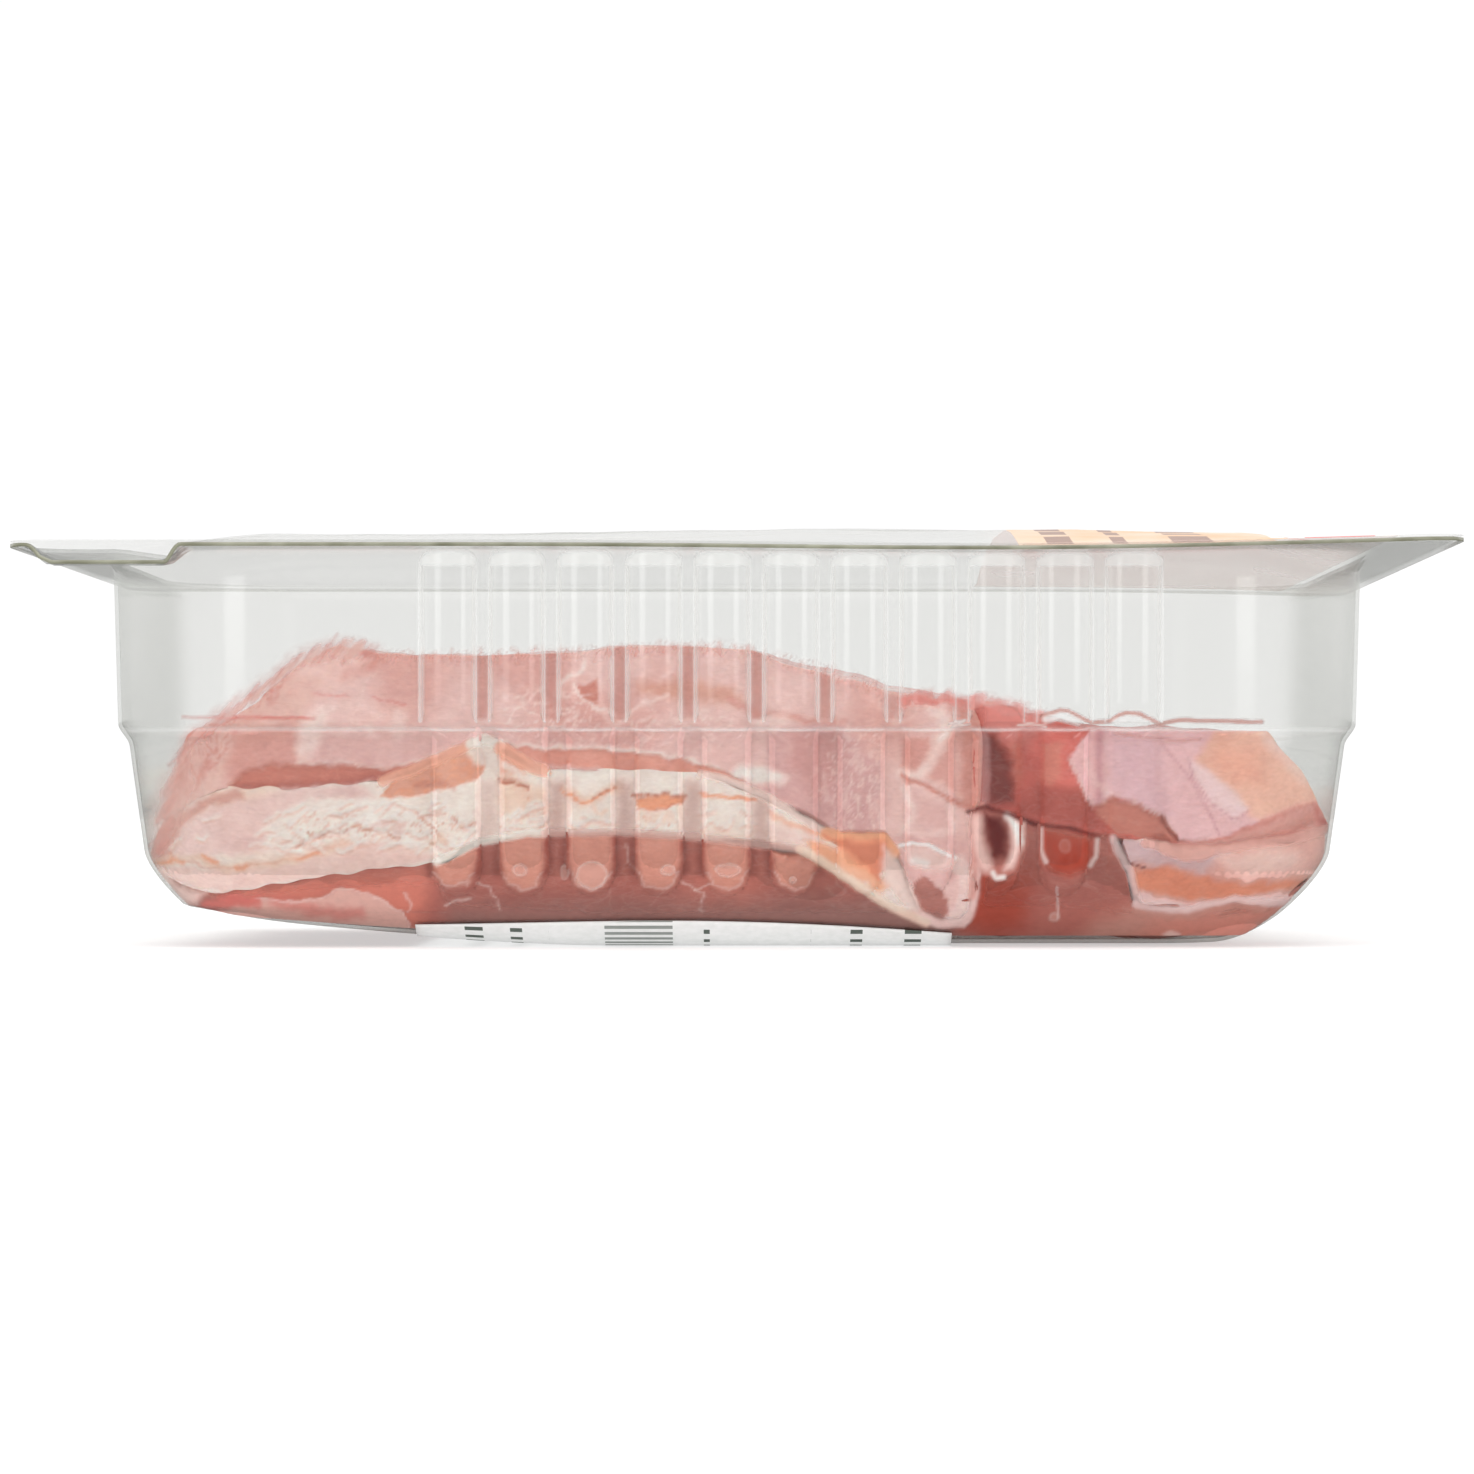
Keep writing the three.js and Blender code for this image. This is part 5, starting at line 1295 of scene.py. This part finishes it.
def paintCutlet(name, cutlet, co):
    play = wallPlay(*co.T)[0]
    place = photoPlace(co)
    front = (1 - rise(play, 4, 9)) * ofFront(co[:, 1])
    paint = {"colour": np.tile(colourOf(cutlet["lean"]), (len(co), 1)), "recess": np.zeros(len(co)),
             "front": front}
    # the muscle's blotches, its veins of fat, and the rind of fat round the outside
    tint(paint, cutlet["blotch"], rise(waves(co, 17, 31), -0.2, 1.3) * 0.6)
    veins = np.maximum(1 - abs(waves(co, 12, 32) + waves(co, 4, 33) * 0.25) / (0.34 - 0.24 * front), 0)
    veins *= rise(waves(co, 20, 34), -0.2, 0.6) * (1 - front * 0.5)
    tint(paint, "veil", veins * cutlet["marbling"])
    x, y = co[:, 0], co[:, 1]
    own = np.minimum(np.minimum(x - x.min(), x.max() - x), y.max() - y)
    away = np.minimum(own, play - 1) + waves(co, 16, 35) * 1.6
    rim = (1 - rise(away, 2.4, 4.2)) * cutlet["rim"] * (1 - front)
    tint(paint, "cream", rim)
    tint(paint, "peachFat", rim * rise(waves(co, 7, 36), 0, 1) * 0.5)
    paint["rim"] = rim
    wavy = wavyPlace(place)
    seen = front > 0.01
    # the marks on the front, painted shade among them
    for k, mark in enumerate(marksOn[name] + ribMarks(name)):
        amount = np.zeros(len(co))
        amount[seen] = cover(place[seen], wavy[seen], mark, seeds["marks"] + 3 * k) * front[seen]
        tint(paint, mark["colour"], amount)
        paint["recess"] += amount * mark.get("depth", 0)
    # what lies behind the front keeps a deeper tone in the open light
    paint["colour"] *= (cutlet["gain"] * (1 - meat["openTone"] * (1 - front) * (1 - rim)))[:, None]
    paint["colour"] = np.minimum(paint["colour"], brightest)
    return paint


def meatGroup():
    group = bpy.data.node_groups.new("meatSurface", "ShaderNodeTree")
    sockets = {"INPUT": {"TissueAndPaintedLight": "Color", "Pressed": "Float", "Place": "Vector"},
               "OUTPUT": {"Color": "Color", "Roughness": "Float", "Coat": "Float", "Height": "Float"}}
    for way, kinds in sockets.items():
        for name, kind in kinds.items():
            group.interface.new_socket(name=name, in_out=way, socket_type="NodeSocket" + kind)
    given, result = addNode(group, "NodeGroupInput"), addNode(group, "NodeGroupOutput")
    # fine grain of the muscle, drawn out along its fibres
    along = addNode(group, "ShaderNodeMapping", Scale=(0.55, 1, 1.3), Rotation=(0.3, 0.5, 0.2))
    link(group, given, "Place", along, "Vector")
    grain = addNode(group, "ShaderNodeTexNoise", Scale=1700.0, Detail=4.0, Roughness=0.65)
    link(group, along, "Vector", grain, "Vector")
    mottle = addNode(group, "ShaderNodeTexNoise", Scale=260.0, Detail=5.0, Roughness=0.65, Distortion=0.4)
    link(group, given, "Place", mottle, "Vector")
    threads = addNode(group, "ShaderNodeTexNoise", Scale=330.0, Detail=3.0, Distortion=1.2)
    link(group, along, "Vector", threads, "Vector")
    ridge = mathNode(group, "ABSOLUTE", mathNode(group, "SUBTRACT", threads.outputs["Fac"], 0.5))
    ridge = mathNode(group, "SUBTRACT", 1.0, product(group, ridge, 26.0))
    ridge = product(group, mathNode(group, "MAXIMUM", ridge, 0.0), 0.05)
    colour = mixColour(group, ridge, given.outputs["TissueAndPaintedLight"], linear(246, 222, 214))
    spread = product(group, mathNode(group, "MULTIPLY_ADD", grain.outputs["Fac"], 0.3, 0.85),
                     mathNode(group, "MULTIPLY_ADD", mottle.outputs["Fac"], 0.36, 0.82))
    deeper = mathNode(group, "POWER", spread, 1.35)
    grey = addNode(group, "ShaderNodeCombineColor")
    for channel, value in (("Red", spread), ("Green", deeper), ("Blue", deeper)):
        join(group, value, grey, channel)
    join(group, mixColour(group, 1.0, colour, grey.outputs["Color"], "MULTIPLY"), result, "Color")
    pressed = given.outputs["Pressed"]
    join(group, mathNode(group, "MULTIPLY_ADD", pressed, 0.3, 0.27), result, "Roughness")
    join(group, product(group, mathNode(group, "SUBTRACT", 1.0, pressed), 0.5), result, "Coat")
    join(group, mathNode(group, "ADD", grain.outputs["Fac"], mottle.outputs["Fac"]), result, "Height")
    return group


def meatMaterial(name):
    mat = newMaterial(name)
    shader = mat.node_tree.nodes["Principled BSDF"]
    surface = addNode(mat, "ShaderNodeGroup")
    surface.node_tree = bpy.data.node_groups.get("meatSurface") or meatGroup()
    link(mat, attributeNode(mat, "tissueAndPaintedLight"), "Color", surface, "TissueAndPaintedLight")
    link(mat, attributeNode(mat, "pressed"), "Fac", surface, "Pressed")
    link(mat, addNode(mat, "ShaderNodeTexCoord"), "Object", surface, "Place")
    for output, entry in (("Color", "Base Color"), ("Roughness", "Roughness"), ("Coat", "Coat Weight")):
        link(mat, surface, output, shader, entry)
    addBump(mat, surface.outputs["Height"], 0.3, 0.0003, shader)
    setInputs(shader, Specular_IOR_Level=0.35, Subsurface_Weight=0.25, Subsurface_Radius=(1.0, 0.45, 0.3),
              Subsurface_Scale=0.0012, Coat_Roughness=0.12)
    return mat


# ---------- juice and smears between the meat and the sheet, with painted highlights, painted sheen and painted shade on the same sheet
juice = {"left": -79, "right": 79, "low": 1.1, "high": 42, "step": 0.24, "gap": 0.1, "gain": 1.1}


def bubble(x, y, wide, high, amount=0.35):
    turns = np.radians(np.arange(0, 361, 30))
    ring = [(x + wide / 2 * math.cos(a), y + high / 2 * math.sin(a)) for a in turns]
    return [patch("bubble", 1, amount, ring[:-1], ragged=0.4),
            stroke("glint", 1, 1, amount * 0.5, ring, ragged=0.4)]


def hatch(line, count, length, lean, colour, amount, seed):  # fine slanted streaks that feather an edge
    chance = np.random.default_rng(seed)
    line = np.array(line, float)
    run = np.concatenate([[0], np.cumsum(np.hypot(*np.diff(line, axis=0).T))])
    streaks = []
    for at in np.sort(chance.uniform(0, run[-1], count)):
        x, y = (np.interp(at, run, line[:, k]) for k in (0, 1))
        reach = length * chance.uniform(0.4, 1)
        angle = math.radians(lean + chance.normal() * 5)
        x, y = x + chance.normal() * 2, y + chance.normal() * 2
        ends = [(x + t * reach * math.cos(angle), y - t * reach * math.sin(angle)) for t in (-1, 0.55)]
        streaks.append(stroke(colour, 1.5, 1.5, amount * chance.uniform(0.4, 1), ends, ragged=0.2))
    return streaks


def seam(colour, width, at, amount=0.85):  # a painted strip along the crease between two cutlets, which covers the crease's dark gap
    return stroke(colour, width, 2, amount, at, ragged=0.5)


# lines that several smears follow, in the photograph's pixels
contour = [(163, 850), (170, 800), (179, 768), (191, 738), (236, 707), (274, 679), (303, 656), (341, 645),
    (374, 652)]
arcs = [(1040, 718), (1048, 714), (1060, 710), (1068, 711), (1076, 715), (1092, 723), (1111, 721),
    (1119, 715), (1126, 713), (1140, 714), (1150, 719), (1159, 724), (1168, 722), (1178, 720), (1220, 721),
    (1262, 722)]
footArea = [(176, 893), (222, 897), (274, 893), (319, 888), (383, 884), (437, 884), (450, 904), (600, 912),
    (940, 912), (952, 928), (968, 926), (980, 905), (1060, 905), (1136, 914), (1188, 918), (1264, 910),
    (1300, 898), (1325, 874), (1345, 860), (1350, 965), (120, 965), (130, 880)]
rightSeam = [(700, 774), (725, 779), (767, 797), (799, 817), (834, 837), (868, 840), (885, 841)]
ringEdge = [(883, 842), (898, 861), (909, 888), (923, 917), (940, 924), (963, 923), (971, 914), (975, 896),
    (977, 866), (981, 830)]
smearsAndPaintedLight = [
    stroke("smearRed", 9, 7, 0.35, contour, ragged=2),
    *hatch(contour, 90, 22, 52, "smearRed", 0.5, 11),
    *hatch(contour[1:], 60, 16, 50, "smearSkin", 0.5, 12),
    *hatch([(380, 656), (476, 656), (572, 653), (687, 647), (748, 650), (795, 663), (886, 691), (985, 702)],
           110, 7, 84, "rose", 0.35, 13),
    patch("smearRed", 14, 0.15, [166,800, 186,740, 250,700, 330,660, 380,662, 300,700, 230,760, 190,800]),
    # creases
    seam("orangePink", 9, [383,781, 396,776, 410,771, 425,764, 440,758, 455,751, 470,744]),
    seam("cream", 8, [470,744, 485,739, 500,745]),
    seam("orangePink", 11, [500,748, 508,752, 515,756, 532,767, 545,771]),
    seam("palePink", 6, rightSeam[:5], 0.9),
    seam("orangeFat", 11, [826,834, 842,838, 864,839, 884,839, 893,852], 0.95),
    patch("rustFat", 3, 0.85, [836,839, 886,842, 891,860, 880,877, 855,865, 838,850]),
    patch("orangeFat", 4, 0.8, [806,840, 838,848, 866,864, 890,886, 880,893, 846,878, 812,857]),
    patch("palePink", 3, 0.85, [884,844, 900,862, 911,888, 924,915, 942,925, 924,924, 904,905, 888,886,
        880,866]),
    stroke("rust", 1.5, 1, 0.7, [824,836, 846,843, 862,858, 880,879]),
    seam("lilacFat", 7, ringEdge[3:9], 0.9),
    seam("rose", 6, [(x - 3, y) for x, y in ringEdge[7:]] + [(982, 806)], 0.8),
    seam("brownRed", 6, [976,918, 982,898, 984,876], 0.7),
    seam("cream", 6, [437,862, 480,842, 528,833, 545,833], 0.7),
    seam("gapGrey", 6, [545,833, 617,832, 684,836, 740,842, 800,849], 0.8),
    seam("peachFat", 7, [800,849, 822,861, 840,873, 860,887, 888,905, 926,923], 0.85),
    seam("mauve", 7, [985,735, 986,760, 985,800], 0.4),
    # painted shade in the crease
    seam("deepShade", 3, [1095,836, 1112,835, 1128,838], 0.7),
    seam("coolWhite", 6, [1113,838, 1119,853, 1130,871, 1134,888, 1138,906], 0.75),
    seam("coolWhite", 6, [1136,905, 1159,910, 1188,911, 1207,905, 1236,899, 1264,903, 1287,902], 0.85),
    seam("fPink", 10, [1164,848, 1174,852, 1184,855, 1197,855, 1210,851], 0.95),
    seam("mauveBrown", 5, [1136,911, 1159,915, 1188,916, 1207,911, 1236,905, 1264,909], 0.7),
    seam("fPink", 8, [1146,843, 1172,848, 1216,850, 1255,843, 1286,840, 1310,834, 1326,829]),
    # painted shade along the crease
    seam("deepShade", 2, [1172,844, 1216,845, 1255,839, 1286,834, 1312,822], 0.4),
    patch("smearSkin", 10, 0.5, [146,866, 150,820, 163,782, 190,760, 196,790, 176,840]),
    patch("palePink", 4, 0.9, [146,850, 158,866, 179,886, 206,893, 196,904, 160,905]),
    stroke("redStreak", 6, 4, 0.8, [205,907, 232,901, 256,902], ragged=1),
    stroke("redStreak", 2, 1, 0.45, [183,717, 236,718, 314,718], ragged=0.5),
    stroke("rose", 5, 5, 0.55, [380,656, 476,656, 572,653, 687,647, 748,650, 795,663, 846,675,
        886,691], ragged=3, veins=(6, 4, -86, 0.7)),
    stroke("leanTop", 9, 5, 0.8, [903,699, 930,698, 960,701, 985,702, 1010,707, 1040,718], ragged=3),
    patch("leanTop", 4, 0.7, [985,704, 1022,711, 1042,718, 1042,728, 985,730]),
    stroke("juiceLine", 3, 1, 0.9, arcs, ragged=0.3),
    *strokes("glint", 5, 2, 0.7, [[1046,720, 1060,716, 1078,722], [1116,722, 1130,719,
        1146,723]], ragged=0.3),
    stroke("juiceLine", 2, 1, 0.5, [1114,733, 1150,738, 1184,741, 1200,739], ragged=0.4),
    stroke("glint", 1, 1, 0.8, [949,724, 966,720, 952,727, 970,724], ragged=0.5),
    stroke("glint", 1, 1, 0.7, [1018,725, 1030,724, 1046,727], ragged=0.5),
    # the pocket of dark juice and its two neighbours, in the lower ribs, with painted sheen and painted
    # highlights where the rounded sheet shines
    patch("juicePink", 2, 0.92, [970,812, 985,808, 1004,812, 1026,820, 1026,850, 1018,872, 998,881, 980,872,
        972,850], ragged=0.5),
    patch("blood", 5, 1, [983,811, 1002,817, 1010,835, 1007,856, 996,864, 988,856, 985,838], ragged=1),
    stroke("paintedSheen", 8, 5, 0.7, [976,820, 977,842, 986,866], ragged=0.5),
    patch("paintedSheen", 3, 0.9, [1010,818, 1025,823, 1022,848, 1013,868, 1004,870, 1012,848], ragged=0.5),
    stroke("glint", 4, 3, 0.75, [1007,816, 1016,826, 1020,842], ragged=0.5),
    stroke("glint", 3, 2, 0.8, [993,873, 996,878, 1003,877], ragged=0.3),
    stroke("blood", 3, 2, 0.85, [968,812, 986,807, 1026,820, 1041,825, 1074,829, 1097,837], ragged=0.6),
    patch("brownRed", 5, 0.95, [1040,828, 1096,839, 1096,855, 1088,868, 1070,876, 1052,870,
        1042,855], ragged=0.5),
    patch("bloodOrange", 8, 0.9, [1048,840, 1086,846, 1082,866, 1056,868], ragged=1),
    *strokes("glint", 2, 2, 0.5, [[1041,829, 1041,850, 1046,862], [1097,840, 1096,856,
        1090,866]], ragged=0.3),
    patch("paintedSheen", 4, 0.5, [900,845, 928,846, 955,858, 953,868, 940,871, 912,866], ragged=1),
    stroke("glint", 2, 1, 0.85, [899,846, 912,843, 928,845, 955,858], ragged=0.4),
    stroke("glint", 3, 4, 0.5, [914,860, 926,864], ragged=0.4),
    stroke("glint", 1, 1, 0.35, [1057,887, 1058,918], ragged=0.3),
    *bubble(1065, 846, 11, 13, 0.15),
    *bubble(1054, 917, 9, 8),
    *bubble(520, 870, 14, 11),
    *bubble(592, 875, 31, 27, 0.4),
    *bubble(668, 870, 14, 10),
    *bubble(728, 870, 26, 12),
    *bubble(793, 880, 6, 6),
    *bubble(565, 872, 8, 14, 0.3),
]


def sheetDepth(x, z):  # y of the sheet's inner face on the front, and whether a place lies on it
    over = np.maximum(abs(x) - straightX, 0)
    turn = np.maximum(tray["corner"] - insetAt(z) - tray["sheet"] - juice["gap"], 0.5)
    out = np.sqrt(np.maximum(turn ** 2 - over ** 2, 0))
    return -(straightY + out) - bulgeAt(x, z), over < turn


def buildJuiceAndPaintedLight():
    wide, tall = juice["right"] - juice["left"], juice["high"] - juice["low"]
    piece, u, v = gridPiece("juice_smears_and_painted_light", round(wide / juice["step"]), round(tall / juice["step"]))
    x, z = juice["left"] + u * wide, juice["low"] + v * tall
    y, within = sheetDepth(x, z)
    co = np.column_stack([x, y, z + liftOfLabel + baseLift(x, z)])
    setPoints(piece, co)
    place = photoPlace(co)
    wavy = wavyPlace(place)
    shade = lambda name: colourOf(name) * juice["gain"]
    colour = np.tile(shade("base"), (len(co), 1))
    # the foot of the sheet, where the lowest cutlet is pressed against it
    for k, mark in enumerate(marksOn["cutlet_base"]):
        amount = cover(place, wavy, mark, seeds["marks"] + 3 * k)
        colour += (shade(mark["colour"]) - colour) * amount[:, None]
    through = cover(place, wavy, patch("base", 3, 0.95, footArea, ragged=1), seeds["foot"])
    # the smears, with painted highlights, painted sheen and painted shade among them
    for k, mark in enumerate(smearsAndPaintedLight):
        amount = cover(place, wavy, mark, seeds["smearsAndPaintedLight"] + 3 * k)
        share = amount / np.maximum(amount + through * (1 - amount), 1e-6)
        colour += (shade(mark["colour"]) - colour) * share[:, None]
        through = amount + through * (1 - amount)
    through *= within
    setTissueAndPaintedLight(piece, np.minimum(colour, brightest), through)
    bare = [max(through[v] for v in face.vertices) < 0.02 for face in piece.data.polygons]
    edited(piece, bpy.ops.mesh.delete, bare, type="FACE")
    piece.data.materials.append(juiceAndPaintedLightMaterial())
    return finished(piece, "pork_lean")


def juiceAndPaintedLightMaterial():
    mat = newMaterial("juiceSmearsAndPaintedLight")
    shader = mat.node_tree.nodes["Principled BSDF"]
    layer = attributeNode(mat, "tissueAndPaintedLight")
    link(mat, layer, "Color", shader, "Base Color")
    broken = addNode(mat, "ShaderNodeMapRange", From_Min=0.3, From_Max=0.6, To_Min=0.9, To_Max=1.0)
    link(mat, noiseNode(mat, 900, 3), "Fac", broken, "Value")
    # a film of juice this thin throws no shadow on the meat behind it
    path = addNode(mat, "ShaderNodeLightPath")
    passing = mathNode(mat, "MAXIMUM", path.outputs["Is Shadow Ray"], path.outputs["Is Diffuse Ray"])
    join(mat, product(mat, layer.outputs["Alpha"], broken.outputs["Result"],
                      mathNode(mat, "SUBTRACT", 1.0, passing)), shader, "Alpha")
    setInputs(shader, Specular_IOR_Level=0.12, Roughness=0.4)
    return mat


# ---------- the scene
scene = bpy.context.scene
scene.view_settings.view_transform = "Standard"
scene.cycles.transparent_max_bounces = 24
scene.cycles.max_bounces = 6
scene.cycles.diffuse_bounces = 3
scene.cycles.glossy_bounces = 3
setCamera()
setWorld()
addLights()
addFloor()
print("stage ready")
buildTray()
buildFilm()
buildLabel()
for cutletName, cutletLook in cutlets.items():
    buildCutlet(cutletName, cutletLook)
buildJuiceAndPaintedLight()
print("pack ready")
